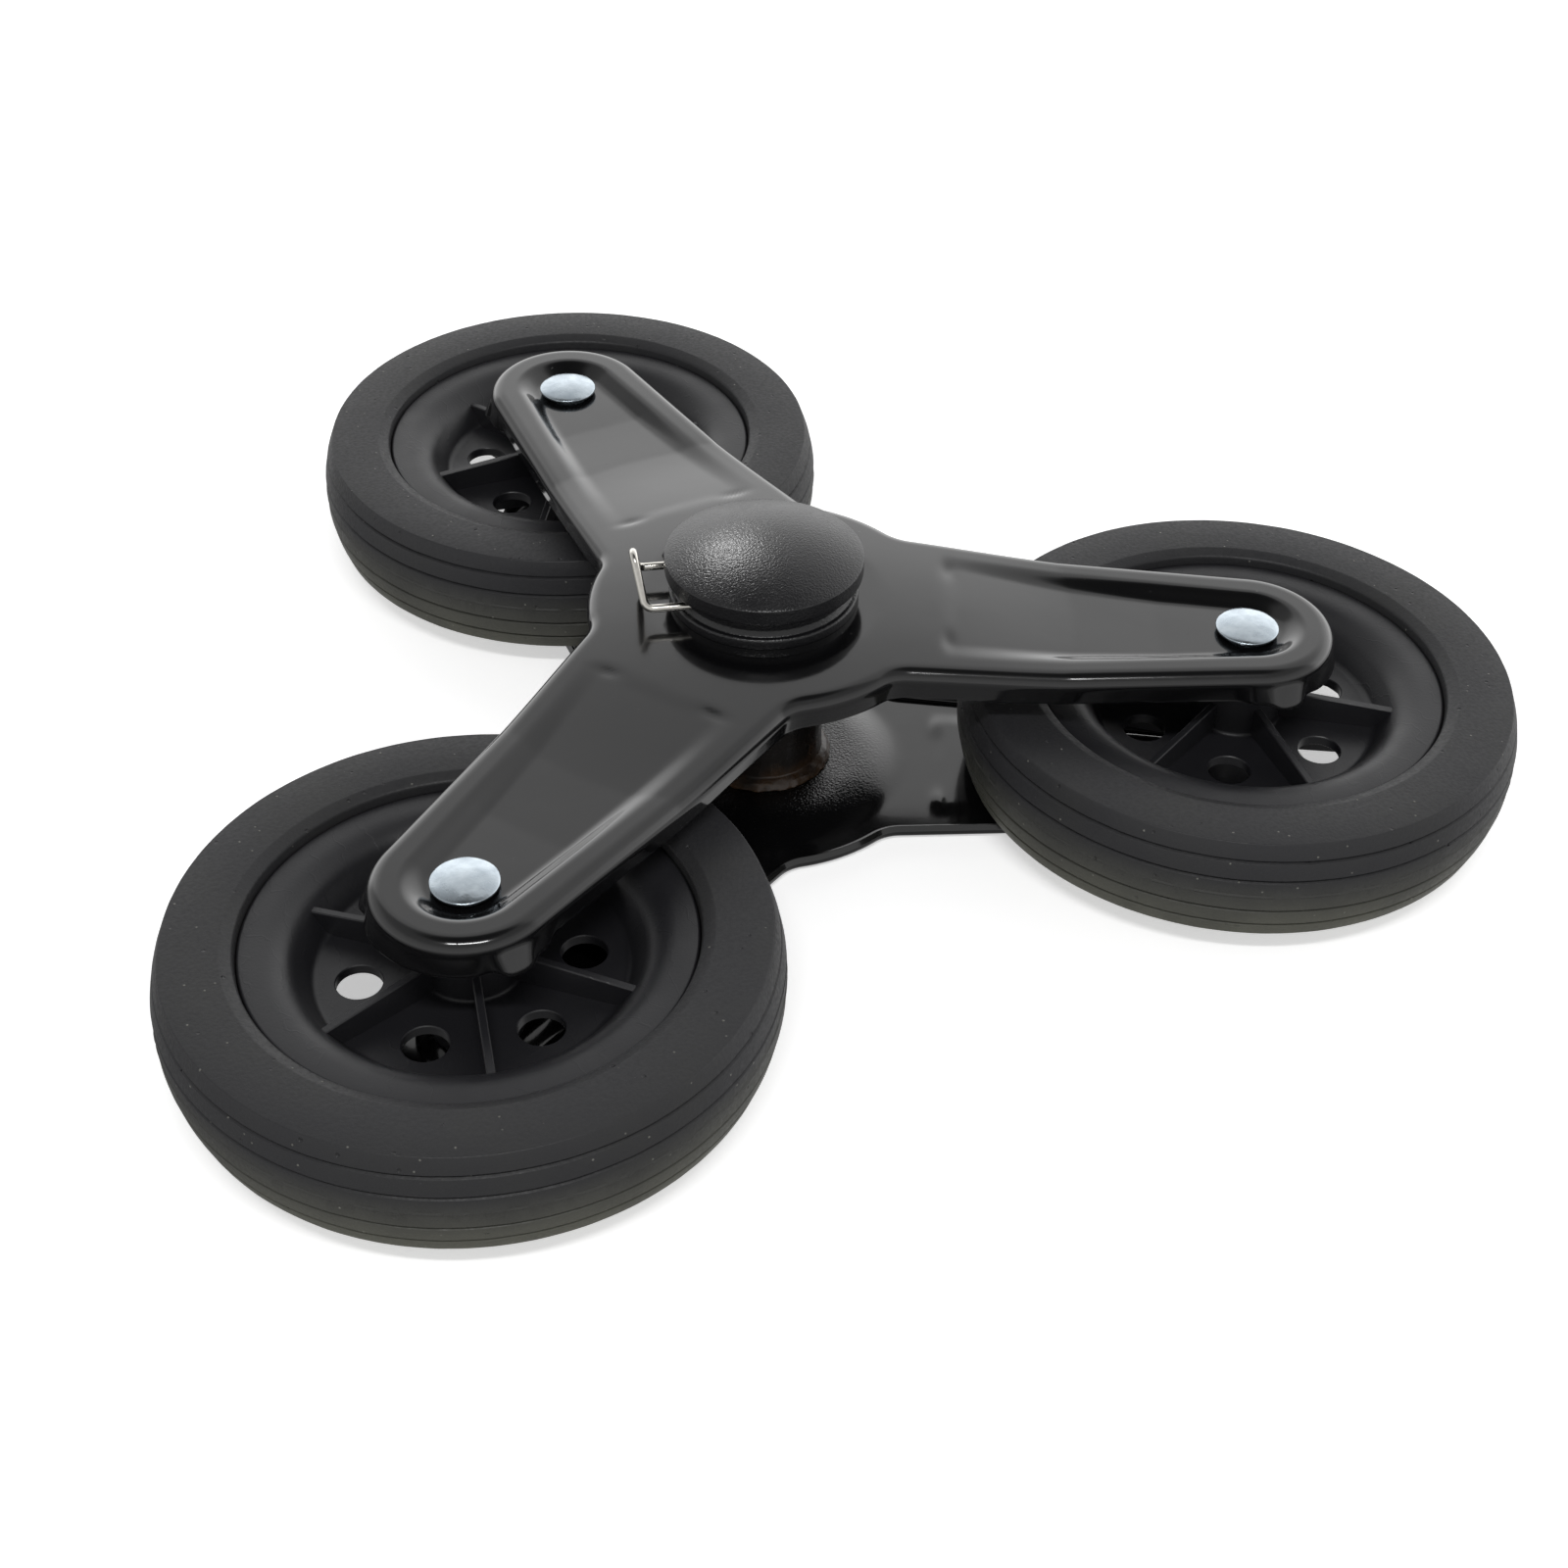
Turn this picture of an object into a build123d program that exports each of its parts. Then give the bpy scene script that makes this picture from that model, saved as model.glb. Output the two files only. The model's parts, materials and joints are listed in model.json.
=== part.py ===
from build123d import *
import math
import os

# Three-wheel stair-climbing wheel set for a hand trolley, in millimetres.
# The set lies flat: +Z runs up the hub axis and z = 0 is the resting face, which is the outer
# face of the lower frame plate and the lower mouth of the hub bore.

# ---- driving dimensions -------------------------------------------------------------------

# Layout of the three arms
arm_angles = {"1": 210, "2": 330, "3": 90}
pitch_radius = 136.7

# Pressed frame plates
sheet = 2.0
hub_disc_radius = 50.0
arm_root_radius = 36.6
arm_tip_radius = 24.5
arm_corner_radius = 6.0
plate_gap = 47.0
panel_depth = 3.0
panel_root_margin = 9.3
panel_tip_margin = 11.0
panel_start_margin = 2.0
panel_corner_radius = 4.0
panel_wall_angle = 40.0
top_flange_depth = 9.5
bottom_flange_depth = 4.5
top_bend_radius = 4.0
bottom_bend_radius = 3.0
boss_height = 4.5
boss_foot_margin = 7.0
boss_top_margin = 1.3
dish_clearance = 1.5

# Hub tube, its two bushes and the cap
axle_radius = 10.0
axle_clearance = 0.05
tube_radius = 17.5
tube_wall = 2.5
weld_size = 3.0
sleeve_length = 20.0
bush_flange_radius = 26.0
collar_bead_width = 1.9
collar_bead_height = 3.0
collar_neck_radius = 24.8
collar_neck_wall = 4.8
collar_height = 12.5
collar_floor = 2.5
cap_skirt_wall = 3.1
cap_lift = 8.5
cap_rim_height = 5.0
cap_dome_height = 6.5
cap_wall = 2.2

# Spring wire clip
wire_radius = 1.15
clip_angle = 161.5
axle_groove_depth = 1.0
clip_lift = 5.2
clip_inner_reach = -8.0
clip_outer_reach = 35.0
clip_bail_height = 15.6
clip_bail_lean = 2.4
clip_bend_radius = 2.6
clip_top_radius = 3.4
clip_slot_clearance = 0.45

# Axle rivets and the spacer tubes that they clamp
rivet_shank_radius = 5.0
rivet_hole_clearance = 0.1
rivet_neck_width = 1.4
rivet_neck_height = 1.0
rivet_head_width = 3.85
rivet_head_edge = 1.1
rivet_head_height = 2.4
rivet_tail_width = 2.5
rivet_tail_height = 2.6
spacer_wall = 2.0

# Wheels
wheel_radius = 80.0
wheel_drop = 3.5
tyre_width = 32.0
tread_crown = 3.4
tyre_lip_radius = 3.0
tread_groove_offsets = [5.2, 11.0]
tread_groove_depth = 0.8
tread_groove_width = 0.9
rim_radius = 58.0
rim_width = 24.8
seat_rib_height = 3.0
seat_rib_width = 7.0
rim_skin = 3.2
face_ring_width = 13.0
bowl_wall_run = 5.0
bowl_edge_radius = 2.5
web_thickness = 3.0
web_hole_radius = 6.0
web_hole_pitch_radius = 28.6
spoke_count = 6
rib_thickness = 2.2
rib_outer_height = 8.0
rib_inner_height = 10.5
channel_rib_count = 12
barrel_wall = 4.02
barrel_end_gap = 0.5
bush_wall = 1.5
bush_flange_thickness = 1.5
wheel_bush_flange_width = 2.82
wheel_bush_length = 14.0
running_clearance = 0.08
wheel_phases = {"1": 44.1, "2": 51.6, "3": 24.2}

# ---- heights worked out from the driving dimensions ---------------------------------------

lower_panel_z = panel_depth
lower_inner_z = panel_depth + sheet
upper_inner_z = lower_inner_z + plate_gap
upper_panel_z = upper_inner_z + sheet
upper_land_z = upper_panel_z + panel_depth
boss_z = upper_land_z + boss_height
tube_top_z = boss_z - sheet
wheel_mid_z = lower_inner_z + plate_gap / 2 - wheel_drop
clip_z = boss_z + clip_lift
cap_z = boss_z + cap_lift

# ---- radii and widths that follow their neighbours ------------------------------------------

bore_radius = axle_radius + axle_clearance
sleeve_radius = tube_radius - tube_wall
collar_bead_radius = collar_neck_radius + collar_bead_width
cap_radius = collar_neck_radius + cap_skirt_wall
clip_half_width = axle_radius - axle_groove_depth + wire_radius
boss_top_radius = collar_bead_radius + boss_top_margin
boss_foot_radius = hub_disc_radius - boss_foot_margin
dish_radius = bush_flange_radius + dish_clearance
panel_root_radius = arm_root_radius - panel_root_margin
panel_tip_radius = arm_tip_radius - panel_tip_margin
panel_start = hub_disc_radius + panel_start_margin
shank_hole_radius = rivet_shank_radius + rivet_hole_clearance
rivet_neck_radius = rivet_shank_radius + rivet_neck_width
rivet_head_radius = rivet_shank_radius + rivet_head_width
rivet_tail_radius = rivet_shank_radius + rivet_tail_width
spacer_radius = rivet_shank_radius + spacer_wall
bush_bore_radius = spacer_radius + running_clearance
bush_outer_radius = bush_bore_radius + bush_wall
wheel_bush_flange_radius = bush_outer_radius + wheel_bush_flange_width
barrel_radius = bush_outer_radius + barrel_wall
tyre_shoulder_radius = wheel_radius - tread_crown
bowl_mouth_radius = rim_radius - face_ring_width
bowl_floor_radius = bowl_mouth_radius - bowl_wall_run


def wheel_centre(name):
    """Place of a wheel's axle on the pitch circle."""
    angle = math.radians(arm_angles[name])
    return pitch_radius * math.cos(angle), pitch_radius * math.sin(angle)


def ring(outer, inner, low, high):
    """Plain tube on the Z axis between two heights."""
    bore = Pos(0, 0, low) * Cylinder(inner, high - low, align=(Align.CENTER, Align.CENTER, Align.MIN))
    return post(outer, low, high) - bore


def post(radius, low, high):
    """Plain round bar on the Z axis between two heights."""
    return Pos(0, 0, low) * Cylinder(radius, high - low, align=(Align.CENTER, Align.CENTER, Align.MIN))


def turned(points):
    """Solid turned about the Z axis from a closed outline of (radius, height) points."""
    section = make_face(Polyline(*[(r, 0, z) for r, z in points], close=True))
    return revolve(section, Axis.Z)


# ---- frame plates -------------------------------------------------------------------------

def tapered_arm(root_radius, tip_radius):
    """Arm along +X: the hull of a circle on the hub axis and one on the wheel axle."""
    slope = math.asin((root_radius - tip_radius) / pitch_radius)
    root_x, root_y = root_radius * math.sin(slope), root_radius * math.cos(slope)
    tip_x, tip_y = pitch_radius + tip_radius * math.sin(slope), tip_radius * math.cos(slope)
    sides = Polygon((root_x, root_y), (root_x, -root_y), (tip_x, -tip_y), (tip_x, tip_y), align=None)
    return sides + Pos(pitch_radius, 0) * Circle(tip_radius)


def star_outline():
    """Outline of a frame plate: the hub disc and three arms, with soft inner corners."""
    outline = Circle(hub_disc_radius)
    for angle in arm_angles.values():
        outline += Rot(0, 0, angle) * tapered_arm(arm_root_radius, arm_tip_radius)
    outer_reach = hub_disc_radius + 1
    corners = [v for v in outline.vertices() if hub_disc_radius - 1 < v.center().length < outer_reach]
    return fillet(corners, arm_corner_radius)


def panel_outline(grow=0.0):
    """Sunk panel of the arm along +X, wider by grow all round."""
    shape = tapered_arm(panel_root_radius + grow, panel_tip_radius + grow)
    start = panel_start - grow
    window = Pos(start, 0) * Rectangle(2 * pitch_radius, 4 * panel_root_radius, align=(Align.MIN, Align.CENTER))
    shape = shape & window
    corners = [v for v in shape.vertices() if abs(v.X - start) < 0.01]
    return fillet(corners, panel_corner_radius + grow)


def pressed_plate(flange_depth, bend_radius):
    """Pressed sheet with its land at z = 0, its flange turned down and its three panels sunk."""
    outline = star_outline()
    outer = extrude(outline, amount=-flange_depth)
    outer = fillet(outer.faces().sort_by(Axis.Z)[-1].edges(), bend_radius)
    hollow = Pos(0, 0, -sheet) * extrude(offset(outline, amount=-sheet), amount=-flange_depth)
    hollow = fillet(hollow.faces().sort_by(Axis.Z)[-1].edges(), bend_radius - sheet)
    wall_run = sheet * (1 - math.sin(math.radians(panel_wall_angle))) / math.cos(math.radians(panel_wall_angle))
    pocket = extrude(panel_outline(), amount=-panel_depth, taper=panel_wall_angle)
    floor = Pos(0, 0, -sheet) * extrude(panel_outline(wall_run), amount=-panel_depth, taper=panel_wall_angle)
    for angle in arm_angles.values():
        outer -= Rot(0, 0, angle) * pocket
        hollow -= Rot(0, 0, angle) * floor
    return outer, hollow


def rivet_holes(low, high):
    """Cutters for the three rivet holes."""
    return [Pos(*wheel_centre(name), 0) * post(shank_hole_radius, low, high) for name in arm_angles]


def boss(low):
    """Raised middle of the upper plate, from its foot height up."""
    return Pos(0, 0, low) * Cone(
        boss_foot_radius, boss_top_radius, boss_height, align=(Align.CENTER, Align.CENTER, Align.MIN)
    )


def make_top_plate():
    outer, hollow = pressed_plate(top_flange_depth, top_bend_radius)
    outer += boss(0)
    hollow += boss(-sheet)
    plate = Pos(0, 0, upper_land_z) * (outer - hollow)
    plate -= post(sleeve_radius, upper_inner_z, boss_z + 1)
    for cutter in rivet_holes(upper_inner_z - 1, upper_land_z + 1):
        plate -= cutter
    return plate


def make_bottom_plate():
    outer, hollow = pressed_plate(bottom_flange_depth, bottom_bend_radius)
    outer -= post(dish_radius, -panel_depth, 1)
    hollow -= post(dish_radius + sheet, -panel_depth - sheet, 1)
    plate = Rot(0, 180, 0) * (outer - hollow)
    plate -= post(sleeve_radius, -1, lower_inner_z + 1)
    for cutter in rivet_holes(-1, lower_inner_z + 1):
        plate -= cutter
    return plate


# ---- hub ----------------------------------------------------------------------------------

def make_hub_tube():
    """Bearing tube between the plates, with a fillet of weld round each end."""
    foot = tube_radius + weld_size
    base = (Align.CENTER, Align.CENTER, Align.MIN)
    lower_weld = Pos(0, 0, lower_inner_z) * Cone(foot, tube_radius, weld_size, align=base)
    upper_weld = Pos(0, 0, tube_top_z - weld_size) * Cone(tube_radius, foot, weld_size, align=base)
    solid = post(tube_radius, lower_inner_z, tube_top_z) + lower_weld + upper_weld
    return solid - post(sleeve_radius, lower_inner_z - 1, tube_top_z + 1)


def make_lower_bush():
    """Flanged plastic sleeve whose flange lies flush in the lower plate's dish."""
    flange = ring(bush_flange_radius, bore_radius, 0, lower_panel_z)
    sleeve = ring(sleeve_radius, bore_radius, lower_panel_z, lower_panel_z + sleeve_length)
    return flange + sleeve


def clip_slots():
    """Two slots through the collar's neck for the legs of the wire clip."""
    side = 2 * (wire_radius + clip_slot_clearance)
    reach = collar_neck_radius + 5
    slots = []
    for sign in (-1, 1):
        slot = Box(reach, side, side, align=(Align.MIN, Align.CENTER, Align.CENTER))
        slots.append(Rot(0, 0, clip_angle) * Pos(0, sign * clip_half_width, clip_z) * slot)
    return slots


def make_hub_collar():
    """Upper bush and collar in one moulding: sleeve, bead on the boss, hollow neck with slots."""
    sleeve = ring(sleeve_radius, bore_radius, tube_top_z - sleeve_length, boss_z)
    bead = post(collar_bead_radius, boss_z, boss_z + collar_bead_height)
    bead = fillet(bead.edges().sort_by(Axis.Z)[-1], collar_bead_height * 0.6)
    neck = post(collar_neck_radius, boss_z, boss_z + collar_height)
    collar = bead + neck
    chamber_floor = boss_z + collar_floor
    collar -= post(collar_neck_radius - collar_neck_wall, chamber_floor, boss_z + collar_height + 1)
    collar -= post(bore_radius, boss_z - 1, chamber_floor + 1)
    for slot in clip_slots():
        collar -= slot
    return collar + sleeve


def dome(radius, base_z, height):
    """Cap of a sphere on a circle of the given radius."""
    sphere_radius = (radius**2 + height**2) / (2 * height)
    ball = Pos(0, 0, base_z + height - sphere_radius) * Sphere(sphere_radius)
    return ball & post(radius, base_z, base_z + height + 1)


def make_hub_cap():
    """Domed cap that presses over the neck of the collar."""
    edge_z = cap_z + cap_rim_height
    skin = post(cap_radius, cap_z, edge_z) + dome(cap_radius, edge_z, cap_dome_height)
    seat_z = boss_z + collar_height
    inner_radius = collar_neck_radius - cap_wall
    hollow = post(inner_radius, seat_z, edge_z) + dome(inner_radius, edge_z, cap_dome_height - cap_wall)
    return skin - post(collar_neck_radius, cap_z - 1, seat_z) - hollow


def make_wire_clip():
    """Bent spring wire: two legs and an upright bail between them."""
    half = clip_half_width
    points = [
        (clip_inner_reach, -half, 0),
        (clip_outer_reach, -half, 0),
        (clip_outer_reach + clip_bail_lean, 0, clip_bail_height),
        (clip_outer_reach, half, 0),
        (clip_inner_reach, half, 0),
    ]
    path = FilletPolyline(*points, radius=[clip_bend_radius, clip_top_radius, clip_bend_radius])
    start = Plane(origin=points[0], z_dir=(1, 0, 0))
    wire = sweep(start * Circle(wire_radius), path=path)
    return Rot(0, 0, clip_angle) * Pos(0, 0, clip_z) * wire


# ---- axles --------------------------------------------------------------------------------

def make_axle_rivet():
    """Axle rivet on the Z axis: domed head on the upper plate, formed tail in the lower panel."""
    neck_z = upper_panel_z + rivet_neck_height
    edge_z = neck_z + rivet_head_edge
    head = post(rivet_head_radius, neck_z, edge_z)
    head += dome(rivet_head_radius, edge_z, rivet_head_height - rivet_head_edge)
    tail = post(rivet_tail_radius, lower_panel_z - rivet_tail_height, lower_panel_z)
    tail = fillet(tail.edges().sort_by(Axis.Z)[0], rivet_tail_height * 0.6)
    shank = post(rivet_shank_radius, lower_panel_z, upper_panel_z)
    return tail + shank + post(rivet_neck_radius, upper_panel_z, neck_z) + head


def make_spacer():
    """Steel tube that keeps the plates apart and that the wheel turns on."""
    return ring(spacer_radius, rivet_shank_radius, lower_inner_z, upper_inner_z)


# ---- wheel --------------------------------------------------------------------------------

def seat_points(top, bottom):
    """Outline of the rim's outer face from top to bottom, with its rib that holds the tyre."""
    rib = seat_rib_width / 2
    crest = rim_radius + seat_rib_height
    slope = rib - seat_rib_height / 2
    return [(rim_radius, top), (rim_radius, rib), (crest, slope), (crest, -slope), (rim_radius, -rib),
            (rim_radius, bottom)]


def tread_radius(height):
    """Crowned tread: full radius at the middle, shoulder radius at the sides."""
    share = abs(height) / (tyre_width / 2)
    return wheel_radius - tread_crown * share**2


def tread_points():
    """Outline of the tread from the lower shoulder to the upper one, with its grooves."""
    half = tyre_width / 2
    points = [(tread_radius(-half), -half)]
    offsets = [-x for x in reversed(tread_groove_offsets)] + [0] + tread_groove_offsets
    for offset_z in offsets:
        radius = tread_radius(offset_z)
        if offset_z == 0:
            points.append((radius, 0))
            continue
        edge = tread_groove_width / 2
        points.append((tread_radius(offset_z - edge), offset_z - edge))
        points.append((radius - tread_groove_depth, offset_z))
        points.append((tread_radius(offset_z + edge), offset_z + edge))
    points.append((tread_radius(half), half))
    return points


def make_tyre():
    """Solid rubber tyre, centred on z = 0."""
    half = tyre_width / 2
    lip = tyre_lip_radius
    upper_lip = [(rim_radius + lip, half), (rim_radius + 0.3 * lip, half - 0.3 * lip), (rim_radius, half - lip)]
    lower_lip = [(r, -z) for r, z in reversed(upper_lip)]
    seat = seat_points(rim_width / 2, -rim_width / 2)
    return turned(tread_points() + upper_lip + seat + lower_lip)


def rim_shell():
    """Turned body of the rim: outer wall, face ring, bowls on both sides and the web."""
    half = rim_width / 2
    web = web_thickness / 2
    inner = rim_radius - rim_skin
    bowl_wall = bowl_mouth_radius + rim_skin
    right_side = seat_points(half, -half)
    lower_side = [(inner, -half), (inner, half - rim_skin), (bowl_wall, half - rim_skin), (bowl_wall, -half)]
    bowl_low = [(bowl_mouth_radius, -half), (bowl_floor_radius, -web)]
    web_part = [(barrel_radius - 1, -web), (barrel_radius - 1, web)]
    bowl_high = [(bowl_floor_radius, web), (bowl_mouth_radius - bowl_edge_radius, half - bowl_edge_radius),
                 (bowl_mouth_radius, half)]
    return turned(right_side + lower_side + bowl_low + web_part + bowl_high)


def spoke(height_sign):
    """One radial rib along +X on the upper or lower side of the web."""
    inner_x = barrel_radius - 1
    outer_x = bowl_mouth_radius + rim_skin / 2
    base = height_sign * web_thickness / 4
    outline = [(inner_x, base), (inner_x, height_sign * rib_inner_height),
               (outer_x, height_sign * rib_outer_height), (outer_x, base)]
    face = make_face(Polyline(*[(x, 0, z) for x, z in outline], close=True))
    return extrude(face, amount=rib_thickness / 2, both=True)


def channel_rib():
    """Short rib across the channel in the back of the rim, along +X."""
    inner = bowl_mouth_radius + rim_skin / 2
    outer = rim_radius - rim_skin / 2
    depth = rim_width - 1.5 * rim_skin
    block = Box(outer - inner, rib_thickness, depth, align=(Align.MIN, Align.CENTER, Align.MIN))
    return Pos(inner, 0, -rim_width / 2 + rim_skin) * block


def make_rim(phase):
    """Moulded rim centred on z = 0, with the first web hole at the angle phase."""
    rim = rim_shell()
    pitch = 360 / spoke_count
    for index in range(spoke_count):
        turn = Rot(0, 0, phase + (index + 0.5) * pitch)
        rim += [turn * spoke(1), turn * spoke(-1)]
    for index in range(channel_rib_count):
        rim += Rot(0, 0, phase + index * 360 / channel_rib_count) * channel_rib()
    flange = bush_flange_thickness + barrel_end_gap
    barrel_low = lower_inner_z + flange - wheel_mid_z
    barrel_high = upper_inner_z - flange - wheel_mid_z
    rim += post(barrel_radius, barrel_low, barrel_high)
    for index in range(spoke_count):
        hole = Pos(web_hole_pitch_radius, 0, 0) * post(web_hole_radius, -web_thickness, web_thickness)
        rim -= Rot(0, 0, phase + index * pitch) * hole
    return rim - post(bush_outer_radius, barrel_low - 1, barrel_high + 1)


def make_wheel_bush(upper):
    """Flanged nylon bush pressed into one end of the rim's barrel, at its height in the frame."""
    sleeve_end = bush_flange_thickness + wheel_bush_length
    flange = ring(wheel_bush_flange_radius, bush_bore_radius, 0, bush_flange_thickness)
    bush = flange + ring(bush_outer_radius, bush_bore_radius, bush_flange_thickness, sleeve_end)
    if upper:
        return Pos(0, 0, upper_inner_z - barrel_end_gap) * Rot(180, 0, 0) * bush
    return Pos(0, 0, lower_inner_z + barrel_end_gap) * bush


# ---- assembly -----------------------------------------------------------------------------

def build_nodes():
    """Every sub-part in its place, by node name."""
    nodes = {
        "top_plate": make_top_plate(),
        "bottom_plate": make_bottom_plate(),
        "hub_tube": make_hub_tube(),
        "lower_bush": make_lower_bush(),
        "hub_collar": make_hub_collar(),
        "hub_cap": make_hub_cap(),
        "wire_clip": make_wire_clip(),
    }
    for name in arm_angles:
        place = Pos(*wheel_centre(name), 0)
        middle = Pos(*wheel_centre(name), wheel_mid_z)
        nodes["axle_rivet_" + name] = place * make_axle_rivet()
        nodes["spacer_tube_" + name] = place * make_spacer()
        nodes["tyre_" + name] = middle * make_tyre()
        nodes["rim_" + name] = middle * make_rim(wheel_phases[name])
        nodes["wheel_bush_upper_" + name] = place * make_wheel_bush(True)
        nodes["wheel_bush_lower_" + name] = place * make_wheel_bush(False)
    return nodes


os.makedirs("parts", exist_ok=True)
for node_name, solid in build_nodes().items():
    export_step(solid, os.path.join("parts", node_name + ".step"))
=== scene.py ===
import json
import math
import random

import bmesh
import bpy
import numpy as np
from mathutils import Euler, Matrix, Quaternion, Vector, noise


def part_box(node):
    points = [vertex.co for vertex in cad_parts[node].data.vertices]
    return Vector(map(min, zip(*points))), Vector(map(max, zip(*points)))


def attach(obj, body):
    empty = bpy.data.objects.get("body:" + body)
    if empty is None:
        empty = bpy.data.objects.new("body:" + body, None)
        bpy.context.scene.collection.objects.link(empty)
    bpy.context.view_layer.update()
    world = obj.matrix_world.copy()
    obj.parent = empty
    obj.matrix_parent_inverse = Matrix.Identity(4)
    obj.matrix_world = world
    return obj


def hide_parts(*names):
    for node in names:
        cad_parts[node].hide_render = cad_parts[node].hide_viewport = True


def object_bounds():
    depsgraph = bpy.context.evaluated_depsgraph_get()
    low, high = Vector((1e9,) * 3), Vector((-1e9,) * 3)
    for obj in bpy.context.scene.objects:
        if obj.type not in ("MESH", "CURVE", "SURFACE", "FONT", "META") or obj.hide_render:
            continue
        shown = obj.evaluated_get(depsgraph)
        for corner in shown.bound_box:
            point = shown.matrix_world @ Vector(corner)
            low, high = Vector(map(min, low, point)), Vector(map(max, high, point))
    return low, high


bl_info = {
    "name": "Stair Climbing Wheel Set",
    "version": (1, 0, 0),
    "blender": (4, 5, 0),
    "location": "View3D > Sidebar > Wheel Set",
    "description": "Builds the finished pieces of a three-wheel stair climbing wheel set",
    "category": "Object",
}

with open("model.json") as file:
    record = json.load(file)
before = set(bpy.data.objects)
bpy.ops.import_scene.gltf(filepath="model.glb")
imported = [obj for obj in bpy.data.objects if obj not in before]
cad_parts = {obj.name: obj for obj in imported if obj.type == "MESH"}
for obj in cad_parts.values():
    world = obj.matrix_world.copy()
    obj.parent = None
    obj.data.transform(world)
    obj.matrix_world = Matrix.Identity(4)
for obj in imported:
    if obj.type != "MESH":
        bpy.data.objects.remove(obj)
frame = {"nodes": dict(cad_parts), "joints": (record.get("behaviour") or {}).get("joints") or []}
CAD_BOX = [list(corner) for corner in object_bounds()]

MM = 0.001
ARMS = ("1", "2", "3")


# ---- sizes and colours that a user may change ---------------------------------------------

def length(name, millimetres, description):
    """Length property with its default given in millimetres."""
    return bpy.props.FloatProperty(
        name=name, description=description, default=millimetres * MM, min=0.0, precision=4, unit="LENGTH"
    )


def linear(hex_colour):
    """Linear RGB of an sRGB hex colour such as #1a1a1c."""
    channels = [int(hex_colour[i:i + 2], 16) / 255 for i in (1, 3, 5)]
    return [c / 12.92 if c <= 0.04045 else ((c + 0.055) / 1.055) ** 2.4 for c in channels]


def colour(name, hex_colour, description):
    """Colour property with its default given as an sRGB hex value."""
    return bpy.props.FloatVectorProperty(
        name=name, description=description, default=linear(hex_colour), min=0.0, max=1.0, subtype="COLOR"
    )


class PlateSizes(bpy.types.PropertyGroup):
    """Sizes of the two pressed frame plates."""

    sheet: length("Sheet", 2.0, "Thickness of the pressed steel sheet")
    hub_radius: length("Hub disc radius", 50.0, "Outer radius of the round middle of the plate")
    root_radius: length("Arm root radius", 36.6, "Radius that the arm's sides are tangent to at the hub")
    tip_radius: length("Arm tip radius", 24.5, "Radius of the rounded end of an arm")
    corner_radius: length("Corner radius", 11.0, "Radius of the inner corner between hub disc and arm")
    hub_hole_radius: length("Hub hole radius", 15.0, "Radius of the hole for the hub bushes")
    rivet_hole_radius: length("Rivet hole radius", 5.1, "Radius of the hole for an axle rivet")
    panel_depth: length("Panel depth", 3.0, "How far the arm's panel is sunk")
    panel_root_radius: length("Panel root radius", 27.3, "Radius that the panel's sides are tangent to at the hub")
    panel_tip_radius: length("Panel tip radius", 13.5, "Radius of the rounded end of the panel")
    panel_start: length("Panel start", 52.0, "Distance from the hub axis to the start of the panel")
    panel_wall: length("Panel wall", 7.0, "Width of the sloping wall round the panel")
    ramp_end: length("Ramp end", 112.0, "Distance from the hub axis to the end of the panel's ramp")
    ramp_half_width: length("Ramp half width", 17.0, "Half the distance between the dimples at its hub end")
    boss_height: length("Boss height", 4.5, "Rise of the upper plate's middle")
    boss_foot_radius: length("Boss foot radius", 88.0, "Radius where the boss begins to rise")
    boss_top_radius: length("Boss top radius", 34.0, "Radius where the boss is level again")
    dish_radius: length("Dish radius", 27.0, "Radius of the sunk middle of the lower plate")
    dish_slope: length("Dish slope", 15.0, "Width of the slope round the sunk middle")
    tuck: length("Flange tuck", 1.0, "How far the flange's foot is tucked in under its bend")
    upper_bend: length("Upper bend radius", 4.0, "Outer radius of the upper plate's edge bend")
    lower_bend: length("Lower bend radius", 3.0, "Outer radius of the lower plate's edge bend")


class HubSizes(bpy.types.PropertyGroup):
    """Sizes of the hub pieces."""

    tube_wall: length("Tube wall", 2.5, "Wall of the hub tube")
    weld: length("Weld", 3.0, "Leg of the weld round the hub tube's foot")
    bore_radius: length("Bore radius", 10.05, "Radius of the bore for the trolley's axle")
    bead_height: length("Bead height", 3.0, "Height of the bead that seats the collar on the plate")
    neck_radius: length("Neck radius", 24.8, "Outer radius of the collar's neck")
    chamber_radius: length("Chamber radius", 20.0, "Inner radius of the hollow neck")
    chamber_floor: length("Chamber floor", 2.5, "Height of the chamber's floor above the plate")
    collar_height: length("Collar height", 12.5, "Height of the collar above the plate")
    cap_rim: length("Cap rim", 5.0, "Height of the cap's upright rim")
    cap_wall: length("Cap wall", 2.2, "Thickness of the cap")
    wire_radius: length("Wire radius", 1.15, "Radius of the spring wire")


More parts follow.
